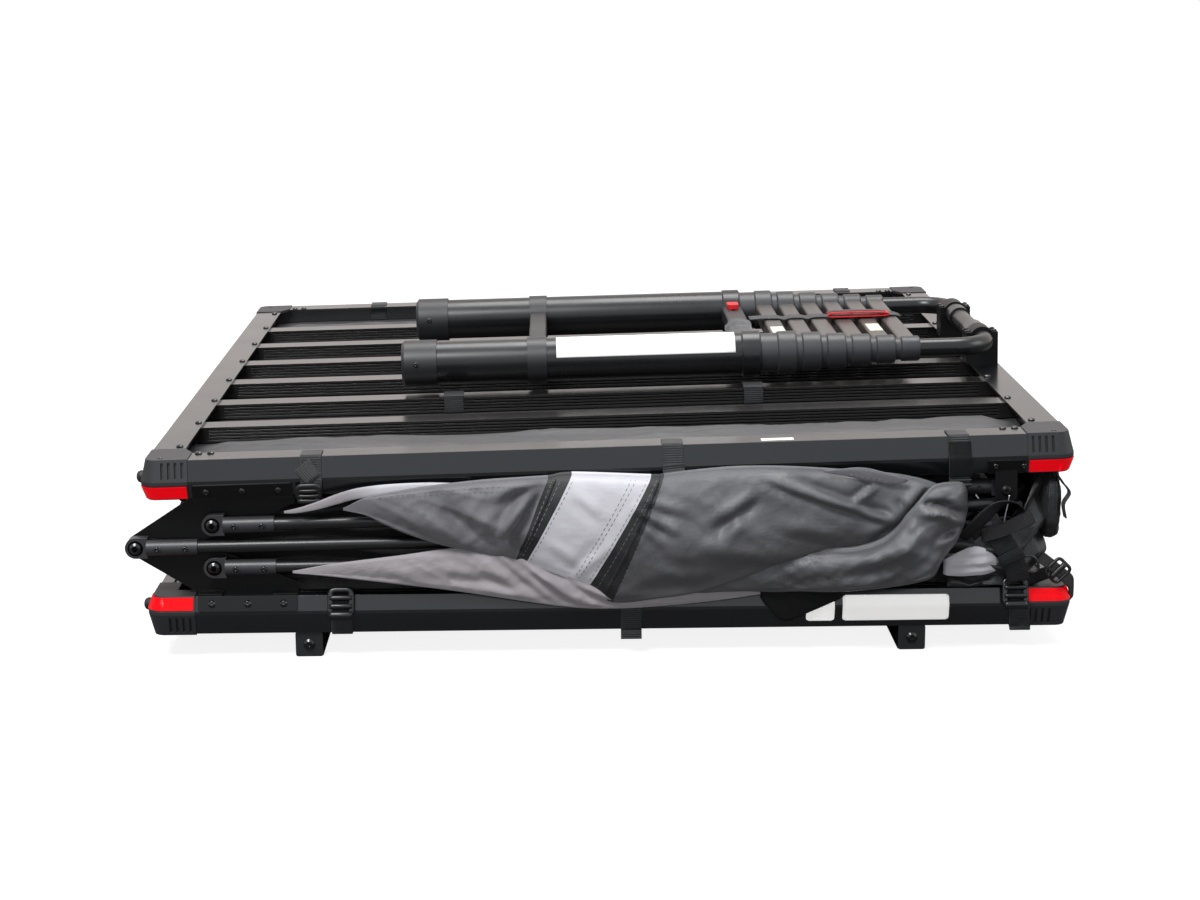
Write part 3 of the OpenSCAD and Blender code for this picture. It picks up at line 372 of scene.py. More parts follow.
# %% [markdown]
# ## Finishes for cloth and webbing
# All soft pieces below are grids that carry a map in metres, as if they still lay on the cutting
# table. A weave drawn on that map follows every fold. An object-space weave would slide when the
# tent opens. Two crossed wave textures make the threads, noise stretched along them makes the
# mottle of a heathered yarn, and slow noise gives handling marks and faded places.

# %% Cloth finish maker
CREST = 0.31416  # a wave texture of scale 1 has its crests this far apart
UNEVEN = {"Distortion": 0.6, "Detail": 1.0, "Detail Scale": 2.0}


def cloth_finish(name, colour, rough, thread=0.0014, relief=0.00022, fleck=0.0, fleck_colour=None,
                 fade=0.12, ripstop=0.0, ribs=False, second=None, turn_at=(0.0, 1.0), **sockets):
    """A woven surface on the cut map: threads, flecks of a second yarn, fading and a soft sheen.
    The colour may turn to a second one along the cut map, between two places."""
    tree, shader = new_finish(name, **sockets)
    cut = add(tree, "UVMap", uv_map="cut").outputs[0]

    def waves(way, apart, inputs, **settings):
        inputs = {"Vector": cut, "Scale": CREST / apart, **inputs}
        return add(tree, "TexWave", inputs, bands_direction=way, **settings).outputs["Fac"]

    along = waves("Y", thread * (2.6 if ribs else 1.0), UNEVEN)
    weave = compute(tree, "ADD" if ribs else "MULTIPLY", waves("X", thread, UNEVEN), along)
    slow = speckle(tree, cut, 7.0, 6.0, 0.6)
    shade = mix(tree, slow, [c * (1 - fade) for c in colour], [c * (1 + fade) for c in colour])
    # A turn to a second colour paints shade along a piece: the first colour stands for its shaded end.
    if second:
        far = add(tree, "SeparateXYZ", {0: cut}).outputs["X"]
        shade = mix(tree, remap(tree, far, *turn_at), shade, second)
    if fleck > 0:
        for stretch in ((380.0, 2400.0, 1.0), (2400.0, 380.0, 1.0)):
            yarn = add(tree, "Mapping", {"Vector": cut, "Scale": stretch}).outputs[0]
            pick = remap(tree, speckle(tree, yarn, 1.0, 1.0), 0.5, 0.72, 0.0, fleck)
            shade = mix(tree, pick, shade, fleck_colour)
    height = weave
    if ripstop > 0:
        lines = [compute(tree, "GREATER_THAN", waves(way, ripstop, {}, wave_profile="SAW"), 0.86) for way in "XY"]
        height = compute(tree, "MULTIPLY_ADD", compute(tree, "MAXIMUM", *lines), 0.8, height)
    rumple = relief_on(tree, speckle(tree, cut, 55.0, 3.0, 0.55), 0.0022, 0.35)
    fill(shader, {
        "Base Color": mix(tree, 1.0, shade, remap(tree, weave, 0.0, 0.6, 0.82, 1.0), "MULTIPLY"),
        "Roughness": remap(tree, slow, 0.3, 0.7, rough - 0.05, rough + 0.07),
        "Normal": relief_on(tree, height, relief, 0.7, Normal=rumple),
    })


# %% Cloth finishes
SHEEN = dict(Sheen_Weight=0.25, Sheen_Roughness=0.45, Specular_IOR_Level=0.35)
COATED = dict(Sheen_Weight=0.05, Specular_IOR_Level=0.5)
STRAP_WEAVE = dict(thread=0.0011, relief=0.0005, ribs=True)
PALE = (0.66, 0.652, 0.705)
cloth_finish("charcoal_cloth", (0.104, 0.105, 0.114), 0.38, ripstop=0.0055, **COATED)
cloth_finish("heathered_cloth", (0.132, 0.132, 0.144), 0.60, fleck=0.45, fleck_colour=(0.27, 0.27, 0.295), **SHEEN)
cloth_finish("pale_band_cloth", PALE, 0.66, thread=0.0012, fade=0.07, **SHEEN)
cloth_finish("pale_lining_cloth", (0.40, 0.372, 0.395), 0.66, thread=0.0012, fade=0.1, **SHEEN)
# The strip's grey colour at its tip is painted shade; it turns to the pale colour of its lit part further on.
cloth_finish("strip_cloth_painted_shade", (0.36, 0.338, 0.362), 0.66, thread=0.0012, fade=0.08, second=PALE,
             turn_at=(0.080, 0.122), **SHEEN)
cloth_finish("zip_tape", (0.007, 0.007, 0.008), 0.55, thread=0.0022, relief=0.0005, **COATED)
cloth_finish("roof_cloth", (0.013, 0.013, 0.0145), 0.42, ripstop=0.0055, **COATED)
cloth_finish("bag_cloth", (0.0075, 0.0075, 0.0085), 0.5, thread=0.0030, relief=0.0006, **COATED)
cloth_finish("inner_cloth", (0.014, 0.014, 0.016), 0.6, **COATED)
cloth_finish("sleeve_cloth", (0.003, 0.003, 0.0035), 0.7, Specular_IOR_Level=0.2)
cloth_finish("floor_cloth", (0.038, 0.038, 0.042), 0.46, thread=0.0018, **COATED)
cloth_finish("pad_cover", (0.060, 0.060, 0.066), 0.72, thread=0.0016, fleck=0.35,
             fleck_colour=(0.15, 0.15, 0.16), **SHEEN)
cloth_finish("webbing", (0.018, 0.019, 0.021), 0.50, **STRAP_WEAVE, **COATED)
# A darker copy of the webbing for the straps at the entrance and the end: painted shade.
cloth_finish("webbing_painted_shade", (0.0075, 0.0075, 0.0085), 0.55, **STRAP_WEAVE, Specular_IOR_Level=0.3)
cloth_finish("red_webbing", (0.62, 0.010, 0.016), 0.55, thread=0.0011, relief=0.0004, ribs=True, **COATED)
cloth_finish("stitch_thread", (0.20, 0.20, 0.21), 0.6, **SHEEN)
cloth_finish("dark_thread", (0.15, 0.15, 0.16), 0.6, **SHEEN)
print("finishes in all:", len(FINISH))

# %% [markdown]
# ## Meshes from grids
# Most soft pieces are rows and columns of points. Writing the points with numpy and handing them to
# one small maker keeps each piece short. The maker also lays the cut map: the lengths along the
# rows and columns, in metres, so that the weave keeps its true size.

# %% Grid maker
CLOTH_THICK = 0.0009


def make_piece(name, points, faces, finishes, cut=None, finish_index=None, smooth=True):
    """A mesh object from points and faces, with named finishes and a cut map."""
    mesh = bpy.data.meshes.new(name)
    mesh.from_pydata([tuple(map(float, p)) for p in points], [], [tuple(map(int, f)) for f in faces])
    for finish in finishes:
        mesh.materials.append(FINISH[finish])
    if finish_index is not None:
        mesh.polygons.foreach_set("material_index", np.asarray(finish_index, np.int32))
    mesh.polygons.foreach_set("use_smooth", [smooth] * len(mesh.polygons))
    if cut is not None:
        corner = np.empty(len(mesh.loops), np.int32)
        mesh.loops.foreach_get("vertex_index", corner)
        mesh.uv_layers.new(name="cut").data.foreach_set("uv", np.asarray(cut, np.float32)[corner].ravel())
    mesh.update()
    piece = bpy.data.objects.new(name, mesh)
    scene.collection.objects.link(piece)
    return piece


def thicken(piece, thick=CLOTH_THICK):
    """Give a sheet its thickness, half to each side."""
    skin = piece.modifiers.new("thickness", "SOLIDIFY")
    skin.thickness, skin.offset = thick, 0.0
    return piece


def line_run(line):
    """Lengths along a line of points, from its start."""
    return np.append(0, np.cumsum(np.linalg.norm(np.diff(line, axis=0), axis=1)))


def run_lengths(grid, axis):
    """Lengths along one axis of a grid of points, from its start."""
    steps = np.linalg.norm(np.diff(grid, axis=axis), axis=2)
    start = np.zeros_like(np.take(steps, [0], axis=axis))
    return np.concatenate([start, np.cumsum(steps, axis=axis)], axis=axis)


def grid_faces(columns, rows, turn=False):
    """Four-sided faces of a grid, seen from its other side if turned."""
    i, j = np.meshgrid(np.arange(columns - 1), np.arange(rows - 1), indexing="ij")
    a = i * rows + j
    faces = np.stack([a, a + rows, a + rows + 1, a + 1], axis=-1).reshape(-1, 4)
    return faces[:, ::-1] if turn else faces


def cloth_grid(name, grid, finishes, zones=None, turn=False, thick=CLOTH_THICK):
    """A sheet of cloth from a grid of points. zones gives the finish of each cell."""
    grid = np.asarray(grid, float)
    columns, rows = grid.shape[:2]
    u, v = run_lengths(grid, 0), run_lengths(grid, 1)
    cut = np.stack([u.mean(axis=1, keepdims=True).repeat(rows, 1), v], axis=-1).reshape(-1, 2)
    index = None if zones is None else np.asarray(zones).reshape(-1)
    piece = make_piece(name, grid.reshape(-1, 3), grid_faces(columns, rows, turn), finishes, cut, index)
    piece["cut_width"], piece["cut_length"] = float(u[-1].max()), float(v[:, -1].max())
    return thicken(piece, thick) if thick else piece


def cloth_area(piece):
    return sum(face.area for face in piece.data.polygons)


def declare_cloth(piece):
    flat, area = (piece["cut_width"], piece["cut_length"]), cloth_area(piece)
    area = min(max(area, 0.31 * flat[0] * flat[1]), 0.99 * flat[0] * flat[1])
    print(piece.name, "cut", [round(v, 3) for v in flat], "area", round(area, 3))


STANDS_FOR = {
    "upper_floor_sheet": "upper_floor_cloth", "lower_floor_sheet": "lower_floor_cloth",
    "upper_mattress_pad": "upper_mattress", "lower_mattress_pad": "lower_mattress",
    "front_upper_layer": "canopy", "ladder_tie": "ladder_tie_strap",
    "front_upper_strap_square": "upper_straps", "front_lower_strap_buckle": "lower_straps",
    "front_upper_buckle": "upper_buckles", "front_lower_buckle_hinge_end": "lower_buckles",
}


def put(piece, body, tilt=False):
    """Tilt a piece if it was drawn level, and say what it rides on and stands for."""
    if tilt:
        piece.data.transform(TO_UPPER)
    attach(piece, body)
    if piece.name in STANDS_FOR:
        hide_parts(STANDS_FOR[piece.name])
    return piece


print("grid makers ready")

# %% [markdown]
# ## Soft noise for wrinkles
# Cloth never lies in an even wave. Its wrinkles are long in one direction, short across it, and
# sharp at the crest. Noise stretched along a direction and folded at zero gives such ridges. A
# displacement modifier with a texture would do the same, but plain numbers are easier to aim.

# %% Wrinkle noise
def noise_field(a, b, seed):
    """Smooth noise at each pair of numbers, about -1 to 1, the same on every run."""
    a, b = np.broadcast_arrays(a, b)
    out = [noise.noise(Vector((p, q, seed))) for p, q in zip(a.ravel(), b.ravel())]
    return np.array(out).reshape(a.shape)


def wrinkles(a, b, along, across, angle, seed):
    """Ridges that run at an angle over the coordinates a and b (in metres), from 0 to about 1."""
    c, s = math.cos(math.radians(angle)), math.sin(math.radians(angle))
    p, q = (a * c + b * s) / along, (-a * s + b * c) / across
    bend = noise_field(p * 0.7, q * 0.35, seed + 3.3)
    return 1 - np.minimum(np.abs(noise_field(p, q + 0.9 * bend, seed)) * 2.2, 1)


def crease(a, b, start, end, width, depth):
    """One straight fold from start to end: a ridge beside a valley, fading out at both ends."""
    start, end = np.array(start, float), np.array(end, float)
    run = end - start
    length = np.linalg.norm(run)
    t = ((a - start[0]) * run[0] + (b - start[1]) * run[1]) / length ** 2
    off = (-(a - start[0]) * run[1] + (b - start[1]) * run[0]) / length
    fade = np.clip(1 - ((t - 0.5) / 0.62) ** 2, 0, 1) ** 1.2
    return depth * fade * (np.exp(-(off / width) ** 2) - 0.8 * np.exp(-((off + 1.7 * width) / width) ** 2))


print("noise at a point:", round(noise.noise(Vector((0.3, 0.7, 1.0))), 4))

# %% [markdown]
# ## Floor cloths
# Under the slats a dark coated cloth closes each half. It is screwed down along the rails and pushed
# up between the slats by the folded tent, so it bulges there in soft lengthways wrinkles. A grid that
# is pinned at the slats and rises between them shows that without a simulation.

# %% Floor cloths
FLOOR_L, FLOOR_W = 0.541, 0.5755  # half the size of the opening between the rails
FLOOR_DEPTH, FLOOR_LEAST = 0.0256, 0.0085


def floor_cloth(half, seed):
    """The cloth that closes one half, bulging most in the two outer bays."""
    x, y = np.meshgrid(np.linspace(-FLOOR_L, FLOOR_L, 150), np.linspace(-FLOOR_W, FLOOR_W, 210), indexing="ij")
    near = np.abs((y - SLAT_FIRST + SLAT_PITCH / 2) % SLAT_PITCH - SLAT_PITCH / 2)
    free = np.clip((near - SLAT_W / 2 - 0.004) / 0.03, 0, 1)
    free = free * free * (3 - 2 * free)
    ends = np.clip((FLOOR_L - np.abs(x)) / 0.05, 0, 1) * np.clip((FLOOR_W - np.abs(y)) / 0.03, 0, 1)
    outer_bay = np.clip((np.abs(y) - 0.40) / 0.03, 0, 1)
    push = (0.0005 + 0.0095 * outer_bay) * free * ends
    long_folds, short_folds = wrinkles(x, y, 0.42, 0.050, 5, seed), wrinkles(x, y, 0.20, 0.03, -14, seed + 7)
    fold = (0.0012 + 0.0028 * outer_bay) * free * ends * (long_folds ** 2 + 0.6 * short_folds ** 2 - 0.4)
    grid = on_half(x, y, np.maximum(FLOOR_DEPTH - push - fold, FLOOR_LEAST), half)
    sheet = cloth_grid(half + "_floor_sheet", grid, ["floor_cloth"], turn=half == "lower", thick=0.0008)
    put(sheet, half + "_half")
    declare_cloth(sheet)


floor_cloth("upper", 2.0)
floor_cloth("lower", 5.0)

# %% [markdown]
# ## Mattress halves
# Each half carries a foam pad in a cloth cover. Foam keeps its block shape but its edges round over
# and its faces crown a little, and a sewn welt runs round it. It is one closed grid whose side pulls
# in to the welt, which needs no simulation because foam doesn't wrinkle.

# %% Mattress maker
PAD_L, PAD_W, PAD_T, PAD_FROM = 0.5395, 0.5745, 0.0285, 0.0275 + 0.0006
PAD_AROUND, PAD_SQUARE, PAD_WELT = 200, 12, 0.0012
# Shares of the reach and of the thickness, from the middle of one face round the side to the other
PAD_PROFILE = [(0.0, 1.0), (0.25, 1.0), (0.5, 1.0), (0.72, 0.99), (0.86, 0.955), (0.945, 0.87), (0.985, 0.70),
               (0.997, 0.56), (1.0, 0.52), (1.0, 0.48), (0.997, 0.44), (0.985, 0.30), (0.945, 0.13), (0.86, 0.045),
               (0.72, 0.01), (0.5, 0.0), (0.25, 0.0), (0.0, 0.0)]


def mattress(half):
    """The foam pad of one half, quilted on its faces."""
    grid = np.empty((PAD_AROUND + 1, len(PAD_PROFILE), 3))
    for k in range(PAD_AROUND + 1):
        a = 2 * math.pi * (k % PAD_AROUND) / PAD_AROUND
        reach = (abs(math.cos(a)) ** PAD_SQUARE + abs(math.sin(a)) ** PAD_SQUARE) ** (-1 / PAD_SQUARE)
        x, y = math.cos(a) * reach, math.sin(a) * reach
        for j, (s, h) in enumerate(PAD_PROFILE):
            welt = PAD_WELT if j in (8, 9) else 0.0
            on_face = 0 < j < 5 or 12 < j < 17
            dimple = 0.0016 * math.sin(34 * x * s) * math.sin(34 * y * s) if on_face else 0.0
            depth = PAD_FROM + PAD_T * h + dimple * (0.5 - h)
            grid[k, j] = (x * (PAD_L * s + welt), y * (PAD_W * s + welt), depth)
    grid = on_half(*np.moveaxis(grid, -1, 0), half)
    pad = cloth_grid(half + "_mattress_pad", grid, ["pad_cover"], turn=half == "upper", thick=0)
    put(pad, half + "_half")
    print(pad.name, len(pad.data.vertices), "points")


mattress("upper")
mattress("lower")

# %% [markdown]
# ## The folded canopy
# On the real tent the canopy is one big coat over the bows. Folded, its side walls hang out between
# the half frames in a few slanting layers. Each layer here is a grid between two drawn edges, a high
# one and a low one, taken from the picture. Its middle swells forward, its two edges roll inwards,
# and creases run along the pull of the cloth. The columns follow the sewn panels, so that a zip or
# a pale band is a strip of cells, as it is a strip of cloth.

# %% Layer maker
def smooth_line(knots, counts):
    """A smooth line through the knots, with a set count of steps between each two."""
    knots = np.asarray(knots, float)
    pad = np.vstack([2 * knots[0] - knots[1], knots, 2 * knots[-1] - knots[-2]])
    out = []
    for k, n in enumerate(counts):
        p0, p1, p2, p3 = pad[k:k + 4]
        for t in np.linspace(0, 1, n, endpoint=False):
            out.append(0.5 * (2 * p1 + (p2 - p0) * t + (2 * p0 - 5 * p1 + 4 * p2 - p3) * t ** 2
                              + (3 * p1 - p0 - 3 * p2 + p3) * t ** 3))
    return np.array(out + [knots[-1]])


COLUMN_STEP, CROWN_AT = 0.005, 0.42
FULL_TALL, END_FADE, EDGE_FADE = 0.07, 0.05, 0.08  # a layer this tall swells fully; shares that fade
CURL_STEPS, TUCK_STEPS, CURL_RADIUS = 6, (0.35, 0.7, 1.0), 0.0035
ROLL_ROWS = CURL_STEPS + len(TUCK_STEPS)


def hanging_layer(high, low, plane, swell, creases, seed, side, rows=32, ripple=1.0, lip=0.006, tuck=0.03):
    """Grid of a hanging layer of cloth, and which panel each column belongs to. Edges are (x, z) in mm."""
    high, low = np.asarray(high, float) / 1000, np.asarray(low, float) / 1000
    spans = (np.linalg.norm(np.diff(high, axis=0), axis=1) + np.linalg.norm(np.diff(low, axis=0), axis=1)) / 2
    counts = [max(3, int(round(s / COLUMN_STEP))) for s in spans]
    top, bottom = smooth_line(high, counts), smooth_line(low, counts)
    panel = np.repeat(np.arange(len(counts)), counts)
    n = len(top)
    s = np.linspace(0, 1, n)[:, None]
    t = np.linspace(0, 1, rows)[None, :]
    x = top[:, :1] * (1 - t) + bottom[:, :1] * t
    z = top[:, 1:] * (1 - t) + bottom[:, 1:] * t
    tall = np.clip((top[:, 1:] - bottom[:, 1:]) / FULL_TALL, 0.04, 1.0)
    seams = np.append(0, np.cumsum(counts))
    ripple = np.interp(np.arange(n), seams, np.broadcast_to(ripple, len(high)))[:, None]
    ends = np.clip(np.minimum(s, 1 - s) / END_FADE, 0, 1) ** 0.6
    body = np.sin(math.pi * t ** (math.log(0.5) / math.log(CROWN_AT))) ** 0.6
    reach = np.interp(s[:, 0], np.linspace(0, 1, len(swell)), swell)[:, None]
    plane = np.interp(s[:, 0], np.linspace(0, 1, np.size(plane)), np.atleast_1d(plane))[:, None]
    out = plane + lip * ends + reach * body * tall * ends
    fade = np.clip(np.minimum(t, 1 - t) / EDGE_FADE, 0, 1) ** 0.7 * ends * tall
    ridges = wrinkles(x, z, 0.13, 0.024, -32, seed) ** 2 + 0.7 * wrinkles(x, z, 0.08, 0.016, 38, seed + 5) ** 3
    broad = noise_field(x / 0.07 + 0.5 * z / 0.07, z / 0.045, seed + 9)
    out = out + ripple * fade * (0.0040 * ridges + 0.0065 * broad - 0.002)
    for start, end, width, depth in creases:
        out = out + fade * crease(x, z, np.array(start) / 1000, np.array(end) / 1000, width / 1000, depth / 1000)
    front = np.stack([x, side * np.maximum(out, plane), z], axis=-1)
    # The rolled edges: half a turn inwards above and below, then a short run back between the frames
    rolls = []
    for edge, sign in ((0, 1), (rows - 1, -1)):
        lead = front[:, edge]
        radius = CURL_RADIUS * np.clip(tall[:, 0] * 1.5, 0.15, 1) * ends[:, 0]
        curl = [np.stack([lead[:, 0], lead[:, 1] - side * radius * (1 - math.cos(a)),
                          lead[:, 2] + sign * radius * math.sin(a)], axis=-1)
                for a in np.linspace(0.35, math.pi, CURL_STEPS)]
        back = curl[-1]
        for d in TUCK_STEPS:
            curl.append(back + np.stack([np.zeros(n), -side * 0.3 * tuck * d * ends[:, 0],
                                         -sign * tuck * d * np.clip(tall[:, 0], 0.1, 1)], axis=-1))
        rolls.append(np.stack(curl, axis=1))
    return np.concatenate([rolls[0][:, ::-1], front, rolls[1]], axis=1), panel


print("layer maker ready, rows in each rolled edge:", ROLL_ROWS)

# %% [markdown]
# ## Letting the cloth buckle
# Drawn creases alone look carved. Real cloth has more length than the space it lies in, and buckles.
# A short cloth simulation shows exactly that: the edges of a layer are held, the cloth grows by a few
# per cent, and it throws its own small folds between the drawn ones. The movement is capped so that
# no layer leaves its place.

# %% Buckling
SETTLE_FRAMES = 20


def points_of(piece):
    """The points of a piece's mesh as rows of numbers."""
    points = np.empty(len(piece.data.vertices) * 3)
    piece.data.vertices.foreach_get("co", points)
    return points.reshape(-1, 3)


def settle(piece, held, growth, cap=0.010, loose=None):
    """Grow the cloth a little between its held points, most where it is loose, and keep its folds."""
    rest = points_of(piece)
    piece.vertex_groups.new(name="held").add([int(i) for i in held], 1.0, "REPLACE")
    cloth = piece.modifiers.new("settle", "CLOTH")
    rules = cloth.settings
    rules.quality, rules.mass, rules.air_damping = 6, 0.25, 2.0
    rules.tension_stiffness = rules.compression_stiffness = 15.0
    rules.shear_stiffness, rules.bending_stiffness = 5.0, 0.5
    rules.vertex_group_mass, rules.shrink_min = "held", -growth
    if loose is not None:
        group = piece.vertex_groups.new(name="loose")
        for share in np.unique(loose):
            group.add([int(i) for i in np.flatnonzero(loose == share)], float(share), "REPLACE")
        rules.vertex_group_shrink, rules.shrink_min, rules.shrink_max = "loose", -0.08 * growth, -growth
    rules.effector_weights.gravity = 0.1
    cloth.collision_settings.use_collision = False
    cloth.point_cache.frame_start, cloth.point_cache.frame_end = 1, SETTLE_FRAMES
    for number in range(1, SETTLE_FRAMES + 1):
        scene.frame_set(number)
    moved = points_of(piece.evaluated_get(bpy.context.evaluated_depsgraph_get()))
    piece.modifiers.remove(cloth)
    scene.frame_set(1)
    shift = moved - rest
    size = np.linalg.norm(shift, axis=1, keepdims=True) + 1e-9
    rest = rest + shift * (cap * np.tanh(size / cap) / size)
    piece.data.vertices.foreach_set("co", rest.ravel())
    piece.data.update()
    print(piece.name, "buckled by up to", round(float(size.max()) * 1000, 1), "mm before the cap")
    return rest


def held_edges(columns, rows, edge=ROLL_ROWS, ends=2):
    """Numbers of the points of a grid that lie in its rolled edges or its end columns."""
    i, j = np.meshgrid(np.arange(columns), np.arange(rows), indexing="ij")
    held = (j < edge) | (j >= rows - edge) | (i < ends) | (i >= columns - ends)
    return np.flatnonzero(held.ravel())


def layer_piece(name, grid, finishes, side, growth, zones=None, loose=None):
    """A hanging layer as a settled sheet of cloth. Gives the piece and its settled grid."""
    piece = cloth_grid(name, grid, finishes, zones, turn=side > 0, thick=0)
    settled = settle(piece, held_edges(*grid.shape[:2]), growth, loose=loose).reshape(grid.shape)
    return thicken(piece), settled


def plain_layer(label, side, seed, name, finish, growth, high, low, plane, swell, creases=(), **shape):
    """A layer in one finish, from one of the plans below."""
    grid, _ = hanging_layer(high, low, plane, swell, creases, seed, side, **shape)
    return layer_piece(f"{label}_{name}", grid, [finish], side, growth)


print("simulation", "on")

# %% [markdown]
# ## The upper layer
# It leaves the upper frame in a long slanting lobe. From the hinge end to the free end it shows a
# heathered panel, a zip, a pale band with double stitching, a second zip and a long dark panel. The
# knots below are pairs of points, above and below at each seam. A narrow strip of lining shows over
# its edge at the hinge end, and a stitched flap lies over it near the free end. The strip's grey at
# its tip is painted shade; further on it is pale.

# %% Upper layer
UPPER_HIGH = [(-316, 194), (-287, 207), (-244, 214), (-196, 220), (-147, 225), (-99, 228), (-65, 230), (-36, 234),
              (61, 230), (77, 231), (120, 236), (168, 240), (229, 240), (284, 236), (338, 231), (381, 224),
              (416, 212), (440, 188)]
UPPER_LOW = [(-316, 192), (-288, 187), (-266, 177), (-233, 163), (-197, 151), (-149, 140), (-105, 130), (-92, 126),
             (-15, 95), (14, 75), (71, 80), (122, 89), (194, 113), (262, 131), (316, 131), (365, 132), (414, 138),
             (448, 168)]
UPPER_PLANE = [0.6165] * 6 + [0.621, 0.624, 0.621, 0.6165, 0.6165]
UPPER_RIPPLE = [0.8] * 6 + [0.5, 0.2, 0.2] + [0.45] * 9
# Each crease runs from one point to another, with its width and its depth
UPPER_CREASES = [
    ((-290, 200), (-170, 165), 11, 5), ((-215, 215), (-150, 165), 14, -7), ((-180, 205), (-120, 160), 11, 6),
    ((-70, 224), (-128, 198), 8, -9), ((-72, 215), (-112, 160), 7, -13), ((-112, 172), (-98, 132), 7, -9),
    ((-95, 200), (-118, 165), 7, 6), ((-30, 215), (0, 185), 6, 3), ((-60, 150), (-20, 120), 7, 3),
    ((10, 150), (-35, 105), 6, 3), ((42, 195), (92, 168), 6, 7), ((46, 182), (78, 148), 6, 6),
    ((52, 205), (104, 192), 6, 5), ((85, 200), (100, 130), 13, 5), ((192, 205), (142, 170), 7, -8),
    ((170, 190), (150, 150), 9, 6), ((205, 232), (352, 180), 5, 10), ((226, 233), (310, 200), 7, -6),
    ((340, 224), (304, 199), 4, 8), ((314, 196), (350, 188), 5, -7), ((360, 203), (370, 188), 5, -5),
    ((406, 219), (366, 174), 6, -9), ((366, 174), (330, 150), 6, -8), ((215, 178), (300, 158), 10, 5),
    ((120, 150), (230, 128), 12, 6), ((50, 110), (150, 112), 12, 5), ((30, 152), (240, 146), 28, 7),
]
UPPER_SWELL = [0.002, 0.008, 0.013, 0.016, 0.019, 0.021, 0.022, 0.022, 0.021, 0.018, 0.010]
STRIP = dict(
    name="lining_strip", finish="strip_cloth_painted_shade", growth=0.03, rows=14, ripple=0.3, lip=0.004, tuck=0.006,
    plane=0.6125, swell=[0.003, 0.006, 0.004],
    high=[(-389, 190), (-368, 195), (-347, 202), (-320, 212), (-297, 218), (-262, 222), (-213, 224), (-160, 223)],
    low=[(-389, 188), (-368, 190), (-346, 194), (-321, 201), (-297, 207), (-264, 209), (-213, 214), (-160, 219)])
FLAP = dict(
    name="stitched_flap", finish="heathered_cloth", growth=0.03, rows=14, ripple=0.4, lip=0.004, tuck=0.004,
    plane=0.6375, swell=[0.002, 0.007, 0.002],
    high=[(270, 240), (292, 242), (309, 243), (323, 242), (336, 239), (354, 234), (374, 228)],
    low=[(270, 239), (292, 236), (309, 232), (323, 228), (337, 226), (354, 224), (374, 226)])
FIRST_ZIP, BAND, SECOND_ZIP = 6, 7, 8
ZONES = ["heathered_cloth"] * 6 + ["zip_tape", "pale_band_cloth", "zip_tape"] + ["charcoal_cloth"] * 8
GIVE = [0.6] * 6 + [0.2, 0.1, 0.2] + [1.0] * 8  # how loose each panel is
LOBE_CLOTHS = ["heathered_cloth", "zip_tape", "pale_band_cloth", "charcoal_cloth"]


def upper_layers(label, side, seed):
    """The lobe, the strip of lining above it and the stitched flap, for one long side."""
    grid, panel = hanging_layer(UPPER_HIGH, UPPER_LOW, UPPER_PLANE, UPPER_SWELL, UPPER_CREASES, seed, side,
                                ripple=UPPER_RIPPLE)
    zones = np.repeat([LOBE_CLOTHS.index(ZONES[k]) for k in panel], grid.shape[1] - 1)
    loose = np.repeat([GIVE[k] for k in np.append(panel, panel[-1])], grid.shape[1])
    lobe, settled = layer_piece(label + "_upper_layer", grid, LOBE_CLOTHS, side, 0.06, zones, loose)
    strip, _ = plain_layer(label, side, seed + 2, **STRIP)
    flap, flap_settled = plain_layer(label, side, seed + 3, **FLAP)
    return [lobe, strip, flap], settled, panel, flap_settled


front_uppers, *FRONT_CLOTH = upper_layers("front", -1, 1.0)
back_uppers, *BACK_CLOTH = upper_layers("back", 1, 21.0)
print("upper layers:", [p.name for p in front_uppers + back_uppers])

# %% [markdown]
# ## The lower layers
# Behind the lobe a pale lining lies on the lower frame. A dark roll starts behind the lobe too and
# comes forward towards the free end, where it lies over everything. A corner of dark cloth hangs over
# the lower rail, and a bundle of lining shows at the end. They are folds of other walls, so they are
# layers of their own.

